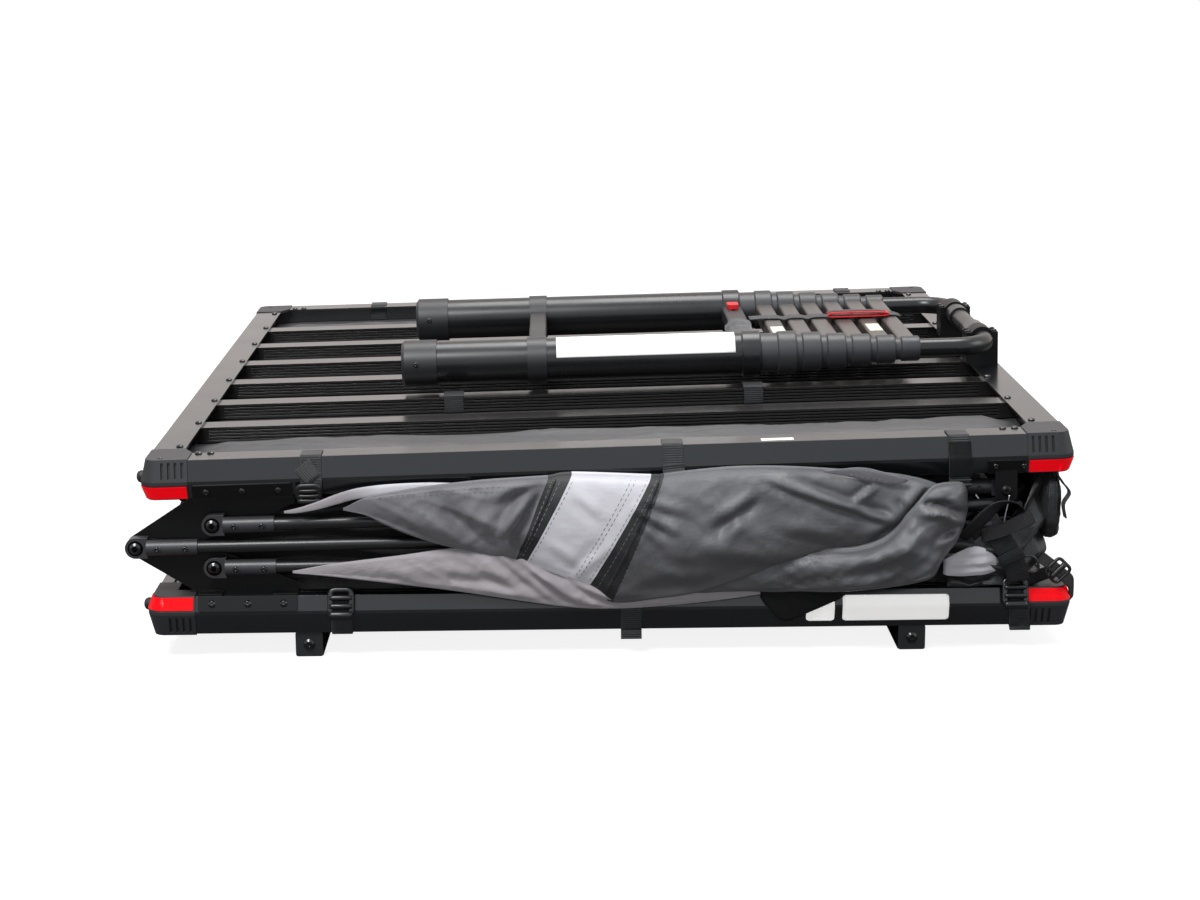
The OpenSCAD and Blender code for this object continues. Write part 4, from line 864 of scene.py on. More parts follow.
# %% Lower layers
LOWER_LAYERS = [
    dict(
        name="lining_layer", finish="pale_lining_cloth", growth=0.045, rows=26, ripple=0.6, lip=0.003, tuck=0.016,
        plane=[0.613] * 5 + [0.610, 0.605], swell=[0.002, 0.006, 0.009, 0.010, 0.009, 0.006, 0.003],
        high=[(-381, 114), (-332, 122), (-247, 131), (-173, 139), (-112, 138), (-60, 129), (0, 114), (60, 104),
              (120, 100), (196, 99), (285, 100)],
        low=[(-381, 112), (-347, 110), (-310, 106), (-249, 99), (-187, 91), (-126, 81), (-52, 69), (-2, 65),
             (60, 66), (150, 73), (285, 90)],
        creases=[((-330, 120), (-120, 108), 8, 5), ((-250, 118), (-80, 92), 8, -5), ((-128, 140), (-60, 78), 6, 8),
                 ((-104, 132), (-30, 72), 5, 8), ((-84, 125), (5, 70), 5, -8), ((-150, 130), (-100, 90), 7, 5),
                 ((-60, 105), (25, 72), 5, 6)]),
    dict(
        name="dark_roll", finish="charcoal_cloth", growth=0.045, rows=32, ripple=0.9, lip=0.006, tuck=0.02,
        plane=[0.614, 0.614, 0.615, 0.618, 0.626, 0.636] + [0.640] * 3 + [0.630, 0.610],
        swell=[0.004, 0.010, 0.014, 0.017, 0.019, 0.018, 0.008],
        high=[(100, 92), (167, 117), (216, 131), (241, 135), (276, 138), (310, 141), (334, 148), (350, 157),
              (363, 170), (371, 180), (381, 192), (391, 203), (400, 212), (409, 217), (425, 218), (444, 216),
              (452, 204)],
        low=[(108, 82), (168, 86), (216, 86), (242, 88), (276, 89), (311, 92), (335, 95), (352, 97), (379, 101),
             (396, 105), (408, 111), (415, 125), (426, 140), (434, 149), (441, 160), (447, 170), (453, 184)],
        creases=[((200, 105), (400, 150), 11, 6), ((300, 118), (405, 172), 10, 6), ((378, 201), (424, 198), 4.5, -14),
                 ((409, 201), (456, 176), 4.5, -16), ((403, 159), (446, 169), 5, -8), ((340, 95), (390, 128), 11, -6),
                 ((250, 92), (400, 118), 9, 4), ((395, 120), (436, 160), 8, 5), ((425, 216), (436, 185), 4, 5)]),
    dict(
        name="hanging_corner", finish="sleeve_cloth", growth=0.03, rows=12, ripple=0.4, lip=0.002, tuck=0.004,
        plane=0.6130, swell=[0.001, 0.003, 0.001],
        high=[(196, 84), (212, 84), (232, 85), (266, 85), (302, 84)],
        low=[(198, 77), (207, 63), (228, 46), (260, 57), (300, 74)]),
    dict(
        name="lining_bundle", finish="pale_band_cloth", growth=0.06, rows=16, ripple=0.4, lip=0.003, tuck=0.006,
        plane=[0.614, 0.614, 0.614, 0.607], swell=[0.003, 0.010, 0.009, 0.001],
        high=[(424, 119), (446, 129), (461, 134), (478, 130), (494, 116)],
        low=[(424, 102), (446, 101), (461, 102), (478, 103), (494, 106)],
        creases=[((430, 120), (486, 125), 4, -7), ((428, 110), (490, 113), 4, -6), ((458, 132), (474, 106), 4, 4)]),
]
lowers = [plain_layer(label, side, seed + 2 * k, **plan)[0]
          for (side, label), seed in zip(SIDES, (3.0, 33.0)) for k, plan in enumerate(LOWER_LAYERS)]
print("lower layers:", [p.name for p in lowers])

# %% [markdown]
# ## Roof, end walls and curtain
# Between the halves the rest of the coat lies pleated. Two sheets stand for it: the roof, which
# runs round the free end outside the bows, and a dark curtain inside the bow legs.

# %% Pleated walls
def pleated_wall(name, plan, low, high, pleats, depth, rows, finish, seed, growth=0.0):
    """A wall along a plan line of (x, y), folded in and out. high is a pair of lists, x and height."""
    ahead_of = np.gradient(plan, axis=0)
    normal = np.stack([ahead_of[:, 1], -ahead_of[:, 0]], axis=-1)
    normal /= np.linalg.norm(normal, axis=1, keepdims=True)
    t = np.linspace(0, 1, rows)[None, :]
    high = np.interp(plan[:, 0], *high)[:, None]
    run = line_run(plan)[:, None]
    sway = noise_field(run / 0.13, t * 2.0, seed)
    fold = np.abs(((t * pleats + 0.55 * sway) % 1.0) * 2 - 1)
    out = depth * (fold - 0.5) * np.clip(np.minimum(t, 1 - t) / 0.06, 0, 1) + 0.004 * sway
    z = low + (high - low) * t + 0.003 * noise_field(run / 0.05, t * 6, seed + 2)
    x = plan[:, :1] + normal[:, :1] * out
    y = plan[:, 1:] + normal[:, 1:] * out
    wall = cloth_grid(name, np.stack([x, y, z], axis=-1), [finish], thick=0)
    if growth:
        settle(wall, held_edges(len(plan), rows, edge=2), growth, cap=0.006)
    return thicken(wall)


def rounded_plan(corners, radius, step):
    """A plan line with rounded corners and even steps."""
    corners = [Vector((*c, 0)) for c in corners]
    line = [corners[0]]
    for a, b, c in zip(corners, corners[1:], corners[2:]):
        start, end = b + (a - b).normalized() * radius, b + (c - b).normalized() * radius
        for k in range(9):
            u = k / 8
            line.append(start * (1 - u) ** 2 + b * 2 * u * (1 - u) + end * u * u)
    line.append(corners[-1])
    line = np.array([(p.x, p.y) for p in line])
    run = line_run(line)
    at = np.linspace(0, run[-1], max(8, int(run[-1] / step)))
    return np.stack([np.interp(at, run, line[:, 0]), np.interp(at, run, line[:, 1])], axis=-1)


ROOF_HIGH = ([0.43, 0.518, 0.538, 0.56], [0.168, 0.168, 0.212, 0.216])
CURTAIN_HIGH = ([-0.53, -0.14, -0.08, 0.40, 0.47], [0.190, 0.196, 0.162, 0.162, 0.199])
roof_plan = rounded_plan([(0.43, -0.6080), (0.553, -0.6080), (0.553, 0.6080), (0.43, 0.6080)], 0.06, 0.007)
roof = pleated_wall("roof_pleats", roof_plan, 0.084, ROOF_HIGH, 3, 0.014, 40, "roof_cloth", 41.0, growth=0.06)
curtain_plan = rounded_plan([(0.470, -0.561), (-0.530, -0.561), (-0.530, 0.561), (0.470, 0.561)], 0.03, 0.012)
curtain = pleated_wall("inner_curtain", curtain_plan, 0.0915, CURTAIN_HIGH, 4, 0.012, 45, "inner_cloth", 47.0)
print("roof", round(cloth_area(roof), 3), "m2, curtain", round(cloth_area(curtain), 3), "m2")

# %% [markdown]
# ## Entrance awning
# The bow at the free end carries the awning cloth over the entrance. Folded, it lies flat against
# the upper mattress. It moves with its own bow, so it rides on it and isn't part of the coat.

# %% Awning
AWNING_FROM, AWNING_TO, AWNING_HALF, AWNING_DEPTH = -0.040, 0.490, 0.570, 0.0706
AWNING_SAG, AWNING_FOLDS = 0.004, 0.0016
along, across = np.linspace(AWNING_FROM, AWNING_TO, 60), np.linspace(-AWNING_HALF, AWNING_HALF, 110)
x, y = np.meshgrid(along, across, indexing="ij")
share = (x - AWNING_FROM) / (AWNING_TO - AWNING_FROM)
sag = AWNING_SAG * np.sin(math.pi * share) * np.cos(math.pi * y / (2 * AWNING_HALF))
z = UPPER_OUT - AWNING_DEPTH - sag + AWNING_FOLDS * wrinkles(x, y, 0.2, 0.03, 70, 61.0)
awning = cloth_grid("entrance_awning", tilted(np.stack([x, y, z], axis=-1)), ["charcoal_cloth"])
put(awning, "entrance_bow")
declare_cloth(awning)

# %% [markdown]
# ## Stitches and zips
# Rows of thread run beside both zips, along the pale band and along the hems. Each stitch is a short
# raised dash on the cloth. A texture of dashes would also do from afar, but real dashes catch the
# light at the same angle as the cloth under them. The teeth of a zip are made the same way, only
# shorter and wider.

# %% Stitch maker
SEAM_START, SEAM_END = 0.004, 0.002  # bare cloth before the first and after the last stitch


def unit(vectors, tiny=1e-12):
    """The same directions at length 1."""
    return vectors / (np.linalg.norm(vectors, axis=-1, keepdims=True) + tiny)


def stitch_run(line, side, length=0.0042, gap=0.0028, width=0.0009, lift=0.0006):
    """Dashes along a line of points on the cloth. Gives points and faces."""
    run = line_run(line)
    points, faces = [], []
    up = np.array([0, side, 0])
    at = SEAM_START
    while at + length < run[-1] - SEAM_END:
        first, last = (np.array([np.interp(a, run, line[:, k]) for k in range(3)]) for a in (at, at + length))
        along = unit(last - first, 1e-9)
        cross = unit(np.cross(along, up), 1e-9)
        base, inset = len(points), along * length * 0.2
        for end, tip in ((first, 0.35), (first + inset, 1), (last - inset, 1), (last, 0.35)):
            for c, u in ((-1, 0.1), (0, 1.0), (1, 0.1)):
                points.append(end + cross * c * width / 2 + up * lift * (u * tip + 0.7))
        corners = [base + k * 3 + c for k in range(3) for c in range(2)]
        faces += [(a, a + 1, a + 4, a + 3) for a in corners]
        at += length + gap
    return points, faces


def seam_piece(name, runs, side, finish, **stitch):
    """All stitches of one thread as one piece."""
    points, faces = [], []
    for line in runs:
        p, f = stitch_run(line, side, **stitch)
        faces += [tuple(i + len(points) for i in face) for face in f]
        points += p
    return make_piece(name, points, faces, [finish], np.array(points)[:, [0, 2]])


def seams_on(label, side, grid, panel, flap):
    """The stitches and the zip teeth of one long side."""
    rows = slice(ROLL_ROWS, grid.shape[1] - ROLL_ROWS)

    def column_at(k, share):
        """Column of the grid at a share of panel k."""
        where = np.flatnonzero(panel == k)
        return int(round(where[0] + share * len(where)))

    def down(k, *shares):
        return [grid[column_at(k, share), rows] for share in shares]

    hem = [grid[8:column_at(5, 0.9), ROLL_ROWS + k] for k in (2, 4)]
    edge = [flap[5:-5, flap.shape[1] - ROLL_ROWS - k] for k in (3, 5)]
    pale = down(BAND, 0.06, 0.70, 0.78, 0.95) + down(FIRST_ZIP, 0.30, 0.72) + edge
    teeth = down(FIRST_ZIP, 0.5) + down(SECOND_ZIP, 0.55)
    return [seam_piece(label + "_band_stitches", pale, side, "stitch_thread"),
            seam_piece(label + "_hem_stitches", hem + down(SECOND_ZIP, 0.15, 0.98), side, "dark_thread"),
            seam_piece(label + "_zip_teeth", teeth, side, "buckle_plastic", length=0.0017, gap=0.0008,
                       width=0.0042, lift=0.0012)]


front_seams = seams_on("front", -1, *FRONT_CLOTH)
back_seams = seams_on("back", 1, *BACK_CLOTH)
print("stitches:", [len(s.data.polygons) // 6 for s in front_seams + back_seams])

# %% [markdown]
# ## The coat in place
# The sheets of the coat and their stitches stay where they were drawn, in the folded tent: their
# places are baked into their points, the CAD canopy is hidden, and the cut size and area of each
# sheet are printed.

# %% Bake the coat
COAT = front_uppers + back_uppers + lowers + [roof, curtain]
for piece in COAT + front_seams + back_seams:
    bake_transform(piece)
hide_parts(STANDS_FOR[front_uppers[0].name])
for piece in COAT:
    declare_cloth(piece)

# %% [markdown]
# ## Webbing
# Straps of black webbing go round the side rails and hold the folded tent together. A strap is a
# ribbon with a real thickness that follows a line of points. It could be a curve with a bevel, but
# a curve twists at tight turns, so the ribbon is lofted: at every point the width direction is given.
# A second maker sweeps round or flattened bars, for buckles, rings and cables.

# %% Ribbon and bar makers
STRAP_W, STRAP_T, STRAP_EDGE = 0.026, 0.0016, 0.0006


def tube_faces(rings, sides, closed=False, capped=True):
    """Faces of a tube of rings, either closed to a hoop or with a cap at each end."""
    faces = []
    for k in range(rings if closed else rings - 1):
        here, there = k * sides, (k + 1) % rings * sides
        faces += [(here + j, here + (j + 1) % sides, there + (j + 1) % sides, there + j) for j in range(sides)]
    if capped and not closed:
        faces += [tuple(range(sides))[::-1], tuple(range((rings - 1) * sides, rings * sides))]
    return faces


def ribbon(name, points, across=(1.0, 0, 0), width=STRAP_W, thick=STRAP_T, finish="webbing", steps=6):
    """A strap through the points, with one width direction or several along it, and rounded edges."""
    line = smooth_line(points, [steps] * (len(points) - 1))
    across = np.atleast_2d(np.asarray(across, float))
    at = np.linspace(0, len(across) - 1, len(line))
    across = np.stack([np.interp(at, np.arange(len(across)), across[:, k]) for k in range(3)], axis=-1)
    ahead_of = unit(np.gradient(line, axis=0))
    across = unit(across - ahead_of * (across * ahead_of).sum(1, keepdims=True))
    up = np.cross(across, ahead_of)
    h, e, r = thick / 2, width / 2, STRAP_EDGE
    section = np.array([(-e, 0), (-e + r, h), (-e * 0.5, h), (0, h), (e * 0.5, h), (e - r, h), (e, 0),
                        (e - r, -h), (e * 0.5, -h), (0, -h), (-e * 0.5, -h), (-e + r, -h)])
    a, b = section[:, :1], section[:, 1:]
    points = line[:, None] + across[:, None] * a + up[:, None] * b
    cut = np.stack(np.broadcast_arrays(section[:, 0] + e, line_run(line)[:, None]), axis=-1)
    return make_piece(name, points.reshape(-1, 3), tube_faces(len(line), len(section)), [finish], cut.reshape(-1, 2))


def bar(name, points, radius, finish, closed=False, flat=1.0, sides=12):
    """A moulded bar along a line of points, round or flattened across the frame."""
    line = np.asarray(points, float)
    n = len(line)
    ahead_of = np.roll(line, -1, axis=0) - np.roll(line, 1, axis=0) if closed else np.gradient(line, axis=0)
    ahead_of = unit(ahead_of)
    across = unit(np.cross(ahead_of, (0.0, 1.0, 0.0)))
    lift = np.cross(across, ahead_of)
    radius = np.broadcast_to(np.asarray(radius, float), (n,))
    points = [line[k] + radius[k] * (across[k] * math.cos(a) + lift[k] * math.sin(a) * flat)
              for k in range(n) for a in np.linspace(0, 2 * math.pi, sides, endpoint=False)]
    return make_piece(name, points, tube_faces(n, sides, closed), [finish])


def join(name, pieces):
    """Join finished pieces into one and keep their finishes."""
    with bpy.context.temp_override(active_object=pieces[0], selected_editable_objects=pieces):
        bpy.ops.object.join()
    pieces[0].name = name
    pieces[0].data.name = name
    return pieces[0]


def at_x(path, x, side=1):
    """A path of (y, z) across the frame, at a place along it."""
    return mirrored([(0, y, z) for y, z in path], side, x + MID_X)


print("ribbon and bar makers ready")

# %% [markdown]
# ## Straps on the upper half
# On each long side three straps come from the floor cloth, lie over the rail and hang down its face.
# The one at the hinge end is folded to a loose square end and carries a buckle, the middle one ends
# in a short flap, the one at the free end has a dark sleeve and ends round two bars.

# %% Upper straps
# Over the rail, as distances behind its ridge and below its outer face
OVER_RAIL = [(0.0368, 0.0240), (0.0366, 0.0120), (0.0362, 0.0030), (0.0345, -0.0010), (0.030, -0.0012),
             (0.020, -0.0012), (0.009, -0.0012), (0.00592, -0.00024), (0.003, 0.011), (0.0, 0.023),
             (-0.0012, 0.0262)]
UPPER_STRAPS = (
    ("square", -0.365, [(0.6122, 0.221), (0.6118, 0.214), (0.6085, 0.206), (0.604, 0.199)]),
    ("flap", 0.079, [(0.6125, 0.2215), (0.6118, 0.215), (0.608, 0.206), (0.603, 0.199)]),
    ("loop", 0.431, [(0.6126, 0.2215), (0.6128, 0.212), (0.6126, 0.202), (0.6122, 0.194), (0.6105, 0.189),
                     (0.6075, 0.1905), (0.6065, 0.196)]),
)
TAB = [(0.0055, 0.6112, 0.2405), (-0.0030, 0.6138, 0.2345), (-0.0120, 0.6152, 0.2275)]
FLAP_END = [(0, 0.6132, 0.2300), (0.0005, 0.6140, 0.2240), (0.001, 0.6165, 0.2195)]
SLEEVE = [(0.6078, 0.2462), (0.6104, 0.2385), (0.6134, 0.2300), (0.6152, 0.2255), (0.6156, 0.2190),
          (0.6154, 0.2100), (0.6148, 0.2030)]


def upper_strap(side, label, kind, x, tail):
    """One strap over the upper side rail, with what is sewn to it."""
    name = f"{label}_upper_strap_{kind}"
    path = [(HALF_W - d, UPPER_OUT - v) for d, v in OVER_RAIL] + tail
    parts = [ribbon(name, at_x(path, x, side))]
    if kind == "square":
        # The loose end is folded at 45 degrees into a square tab that lies on the strap
        parts.append(ribbon("tab", mirrored(TAB, side, x + MID_X), (0.60, 0, -0.80), 0.024))
    if kind == "flap":
        parts.append(ribbon("flap", mirrored(FLAP_END, side, x + MID_X), width=STRAP_W + 0.001))
    if kind == "loop":
        # A dark sleeve is sewn over the strap, and the strap ends round two bars
        x = x + 0.001
        parts.append(ribbon("sleeve", at_x(SLEEVE, x, side), width=STRAP_W + 0.0015, finish="sleeve_cloth"))
        for z, radius in ((0.1985, 0.0015), (0.1925, 0.0021)):
            line = [(x + MID_X + d, side * 0.6142, z) for d in np.linspace(-0.0135, 0.0135, 7)]
            parts.append(bar("strap_bar", line, radius, "cap_plastic"))
    return put(join(name, parts), "upper_half", tilt=True)


upper_straps = [upper_strap(side, label, *plan) for side, label in SIDES for plan in UPPER_STRAPS]
print("upper straps:", [s.name for s in upper_straps])

# %% [markdown]
# ## Loops on the near slat
# Two short webbing loops sit on the slat beside the ladder. When the ladder is tied down, its strap
# runs through them.

# %% Slat loops
def slat_loop(name, x):
    """A loop round a slat, with a second lap on top of it."""
    gap, r = 0.0011, 0.003
    y0, half = SLAT_FIRST + SLAT_PITCH, SLAT_W / 2 + gap
    top, low = UPPER_OUT - 0.003 + gap, UPPER_OUT - 0.023 - gap
    ring = [(half * 0.2, low), (-half + r, low), (-half, low + r), (-half, top - r), (-half + r, top),
            (half - r, top), (half, top - r), (half, low + r), (half - r, low), (-half * 0.2, low - 0.0016)]
    lap = [(-half - 0.001, top + 0.001), (-half * 0.4, top + 0.0022), (half * 0.3, top + 0.003)]
    ring, lap = (at_x([(y0 + y, z) for y, z in path], x) for path in (ring, lap))
    made = join(name, [ribbon(name, ring, steps=4), ribbon("lap", lap, width=STRAP_W + 0.002)])
    return put(made, "upper_half", tilt=True)


slat_loops = [slat_loop("slat_loop_hinge_end", -0.204), slat_loop("slat_loop_free_end", 0.209)]
print("slat loops:", [s.name for s in slat_loops])

# %% [markdown]
# ## Straps on the lower half
# The lower straps come out over the inner edge of the frame through a buckle, go down its face and
# turn under it. Their loose ends hang a little below the frame. The long one slants on its way down.

# %% Lower straps
# Down the face, as distances behind the ridge and above the outer face
DOWN_RAIL = [(0.030, 0.0492), (0.018, 0.0494), (0.0075, 0.0490), (0.0040, 0.0455), (-0.0006, 0.034),
             (-0.0014, 0.030), (-0.0014, 0.026), (0.0002, 0.019), (0.0046, 0.003), (0.0062, -0.0012)]
LOWER_STRAPS = (
    ("buckle", -0.335, 0, 0.0, [(0.600, 0.0300), (0.588, 0.0302), (0.578, 0.0300)]),
    ("tab", 0.025, 2, 0.0, [(0.6045, 0.0270), (0.6050, 0.0230), (0.6055, 0.0195)]),
    ("long", 0.501, 0, 0.011, [(0.6038, 0.0290), (0.6040, 0.0265), (0.6030, 0.0255), (0.598, 0.0292),
                               (0.585, 0.0300)]),
)


def lower_strap(side, label, kind, x, begin, slant, under):
    """One strap on the lower side rail, from a place on the rail's outline to below it."""
    path = [(HALF_W - d, LOWER_OUT + v) for d, v in DOWN_RAIL[begin:]] + under
    line = at_x(path, x, side)
    line[:, 0] += np.interp(np.arange(len(line)), [0, len(DOWN_RAIL) - 1], [0, slant])
    return put(ribbon(f"{label}_lower_strap_{kind}", line), "lower_half")


lower_straps = [lower_strap(side, label, *plan) for side, label in SIDES for plan in LOWER_STRAPS]
print("lower straps:", [s.name for s in lower_straps])

# %% [markdown]
# ## Ladder-lock buckles
# Each buckle is a moulded frame with round corners and two cross bars that grip the webbing, over a
# thicker one at its foot. Swept round bars show the soft moulded edges that a box would miss.

# %% Buckles
BUCKLE_W, BUCKLE_H = 0.033, 0.039


def rounded_ring(w, h, r, steps=8):
    """Outline of a rounded rectangle about the origin, as (x, z)."""
    out = []
    for cx, cz, a0 in ((1, 1, 0), (-1, 1, 90), (-1, -1, 180), (1, -1, 270)):
        for k in range(steps):
            a = math.radians(a0 + 90 * k / (steps - 1))
            out.append((cx * (w / 2 - r) + r * math.cos(a), cz * (h / 2 - r) + r * math.sin(a)))
    return out


def buckle(name, h):
    """A ladder-lock buckle of height h, upright in the XZ plane, facing -Y."""
    w = BUCKLE_W
    outline = [(x, 0, z) for x, z in rounded_ring(w - 0.007, h - 0.007, 0.006)]
    parts = [bar(name, outline, 0.0038, "buckle_plastic", closed=True, flat=0.8)]
    for z, r, push in ((h * 0.15, 0.0036, -0.0016), (-h * 0.12, 0.0036, -0.0024), (-h * 0.40, 0.0052, -0.0020)):
        xs = np.linspace(-w / 2 + 0.003, w / 2 - 0.003, 9)
        line = [(x, push * (1 - (2 * x / w) ** 2), z) for x in xs]
        parts.append(bar("buckle_bar", line, r * h / BUCKLE_H, "buckle_plastic"))
    return join(name, parts)


BUCKLES = (("upper_buckle", "upper", -0.369, 0.6122, 0.2080, 0.027),
           ("lower_buckle_hinge_end", "lower", -0.335, 0.6120, 0.0725, BUCKLE_H),
           ("lower_buckle_free_end", "lower", 0.503, 0.6120, 0.0765, BUCKLE_H))
FACE_LEAN = math.atan2(LEAN, 0.018)
for side, label in SIDES:
    for name, half, x, y, z, h in BUCKLES:
        made = buckle(f"{label}_{name}", h)
        lean = Matrix.Rotation(FACE_LEAN if half == "upper" else -FACE_LEAN, 4, "X")
        turn = Matrix.Rotation(0 if side < 0 else math.pi, 4, "Z") @ lean
        made.data.transform(Matrix.Translation((x + MID_X, side * y, z)) @ turn)
        put(made, half + "_half", tilt=half == "upper")
print("buckles:", 2 * len(BUCKLES))

# %% [markdown]
# ## Webbing at the entrance
# Where the coat ends at the entrance, straps gather it: a loop of webbing, a tension strap that runs
# down to the buckle on the lower frame, and a plastic ring on it. The loop hangs from the upper half.
# The tension strap is held by its buckle and is undone before the tent opens, so it stays with the
# lower half.

# %% Entrance webbing
ENTRANCE_LOOP = [(0.446, 0.612, 0.147), (0.458, 0.622, 0.162), (0.472, 0.626, 0.178), (0.488, 0.624, 0.190),
                 (0.505, 0.620, 0.193), (0.519, 0.614, 0.186), (0.514, 0.606, 0.175), (0.497, 0.604, 0.163),
                 (0.475, 0.606, 0.150), (0.462, 0.608, 0.143)]
LOOP_WAYS = [(0.45, -0.62, -0.64), (0.62, -0.5, -0.6), (0.72, -0.4, -0.56), (0.5, -0.7, -0.5), (0.1, -0.95, -0.3),
             (0.0, -1.0, 0.1), (0.5, -0.6, 0.6), (0.6, -0.4, -0.7), (0.6, -0.4, -0.7), (0.6, -0.4, -0.7)]
LOOP_LAP = [(0.470, 0.614, 0.150), (0.492, 0.622, 0.158), (0.512, 0.626, 0.168), (0.532, 0.622, 0.176)]
TENSION = [(0.478, 0.606, 0.170), (0.488, 0.616, 0.154), (0.499, 0.620, 0.138), (0.508, 0.621, 0.122),
           (0.514, 0.620, 0.106), (0.517, 0.6185, 0.092)]
TENSION_WAYS = [(0.80, 0, 0.60), (0.84, 0, 0.54), (0.88, 0, 0.46), (0.93, 0, 0.36), (0.97, 0, 0.22), (1, 0, 0.1)]
CUFF = [(0.503, 0.6235, 0.131), (0.506, 0.6245, 0.125), (0.509, 0.6240, 0.119)]
RIM = [(0.512, 0.606, 0.082), (0.530, 0.604, 0.089), (0.548, 0.598, 0.094), (0.566, 0.585, 0.096)]
RING = [(-0.010, 0.010), (-0.004, 0.0125), (0.004, 0.010), (0.009, 0.002), (0.010, -0.006), (0.004, -0.010),
        (-0.004, -0.008), (-0.010, 0.000)]


def straps_in_painted_shade(name, side, *straps):
    """Straps in the darker copy of the webbing, which paints shade, each with its points, width directions, width and
    thickness, as one piece.
    """
    return join(name, [ribbon(name, mirrored(points, side), mirrored(ways, side), width, thick, "webbing_painted_shade")
                       for points, ways, width, thick in straps])


def entrance_webbing(side, label):
    """Loop, tension strap and ring at one side of the entrance."""
    loops = straps_in_painted_shade(label + "_entrance_loop", side, (ENTRANCE_LOOP, LOOP_WAYS, 0.021, 0.0016),
                        (LOOP_LAP, [(0.35, -0.35, 0.87)], 0.018, 0.0016))
    tension = straps_in_painted_shade(label + "_tension_strap", side, (TENSION, TENSION_WAYS, 0.028, 0.0018),
                          (CUFF, [(0.90, 0, 0.42)], 0.033, 0.0022), (RIM, [(0, 0.3, 1)], 0.020, 0.0018))
    ring = [(0.5325 + a, side * (0.614 + 0.2 * b), 0.112 + b) for a, b in RING]
    hoop_line = smooth_line(ring + ring[:1], [4] * len(ring))[:-1]
    hoop = bar(label + "_strap_ring", hoop_line, 0.0017, "cap_plastic", closed=True)
    return [put(loops, "upper_half"), put(tension, "lower_half"),
            put(hoop, "lower_half")]


entrance_pieces = entrance_webbing(-1, "front") + entrance_webbing(1, "back")
print("entrance webbing:", [p.name for p in entrance_pieces])

# %% [markdown]
# ## Stuff bags
# A black stuff bag hangs at each end of the entrance, from the upper half, closed with a flat tie. A
# box with rounded edges would look hard, so it is a blunted ball, flat and tall, dented by noise.

# %% Stuff bags
BAG_TIE = [(0.566, 0.590, 0.222), (0.573, 0.595, 0.212), (0.581, 0.597, 0.200), (0.574, 0.598, 0.186),
           (0.577, 0.597, 0.168)]
BAG_AROUND, BAG_ROWS = 72, 40


def blunt(value, power):
    """A power that keeps the sign."""
    return math.copysign(abs(value) ** power, value)


def stuff_bag(side, label):
    """A flat soft bag that hangs at the end of the upper half, and its tie."""
    grid = np.empty((BAG_AROUND + 1, BAG_ROWS, 3))
    for i in range(BAG_AROUND + 1):
        u = 2 * math.pi * (i % BAG_AROUND) / BAG_AROUND
        for j in range(BAG_ROWS):
            v = -math.pi / 2 + math.pi * j / (BAG_ROWS - 1)
            w = max(math.cos(v), 0) ** 0.6
            p = Vector((blunt(math.cos(u), 0.6) * w, blunt(math.sin(u), 0.6) * w, blunt(math.sin(v), 0.7)))
            dent = 0.10 * noise.noise(Vector((3 * p.y, 3.5 * p.z, 4.0 + side))) + 0.05 * noise.noise(p * 6)
            grid[i, j] = (0.5625 + 0.0125 * p.x * (1 + 1.8 * dent), side * (0.547 + 0.052 * p.y * (1 + 0.5 * dent)),
                          0.1805 + 0.046 * p.z * (1 + 0.4 * dent))
    bag = cloth_grid(label + "_stuff_bag", grid, ["bag_cloth"], thick=0)
    put(bag, "upper_half")
    tie = ribbon(label + "_bag_tie", mirrored(BAG_TIE, side), (0.1, side, 0.0), 0.012)
    put(tie, "upper_half")
    return bag


bags = [stuff_bag(side, label) for side, label in SIDES]
print("bags:", [[round(v, 3) for v in b.dimensions] for b in bags])

# %% [markdown]
# ## Cables and end straps
# A thin steel cable hangs from the bracket of the entrance bow and ends in a crimp. A short strap with
# a cam buckle lies over the end of the lower half. Both are lines with a section, so the ribbon and
# bar makers do them.

# %% Cables and end straps
CABLE = [(0.5035, 0.6130, 0.2010), (0.5015, 0.6140, 0.1880), (0.4985, 0.6150, 0.1740), (0.4970, 0.6150, 0.1600)]
CABLE_D = 0.0018
CRIMP = ((-0.006, 0.0014), (-0.004, 0.0019), (0.0, 0.0019), (0.004, 0.0019), (0.006, 0.0014))
END_STRAP = [(0.545, 0.606, 0.121), (0.556, 0.609, 0.113), (0.568, 0.609, 0.103), (0.579, 0.604, 0.093),
             (0.5872, 0.596, 0.084), (0.5896, 0.590, 0.073), (0.5898, 0.588, 0.060)]


def hanging_cable(side, label):
    """The cable stub and its crimp. Gives the length."""
    line = smooth_line(mirrored(CABLE, side), [8, 8, 8])
    cable = bar(label + "_entrance_cable", line, CABLE_D / 2, "cable_steel", sides=8)
    x, y, z = line[-1]
    crimp = bar(label + "_cable_crimp", [(x, y, z - d) for d, _ in CRIMP], [r for _, r in CRIMP], "cable_steel")
    length = float(np.linalg.norm(np.diff(line, axis=0), axis=1).sum())
    for piece in (cable, crimp):
        put(piece, "upper_half")
    return length


def end_strap(side, label):
    """A short strap with a cam buckle that lies over the end of the lower half."""
    # The end strap is in the darker copy of the webbing: painted shade.
    strap = ribbon(label + "_end_strap", mirrored(END_STRAP, side), (0.45, -side * 0.75, 0.45), 0.020,
                   finish="webbing_painted_shade")
    way, over, mid = Vector((0.70, 0, -0.71)), Vector((0.71, 0, 0.70)), Vector((0.567, side * 0.6125, 0.104))
    proud = Vector((0, side * 0.0015, 0))
    outline = [mid + way * a + over * b for a, b in rounded_ring(0.022, 0.026, 0.005)]
    cam_line = [mid + over * a + proud for a in np.linspace(-0.012, 0.012, 7)]
    lock = join(label + "_cam_buckle", [bar("cam_frame", outline, 0.0022, "buckle_plastic", closed=True),
                                        bar("cam", cam_line, 0.0038, "buckle_plastic")])
    put(strap, "lower_half")
    put(lock, "lower_half")


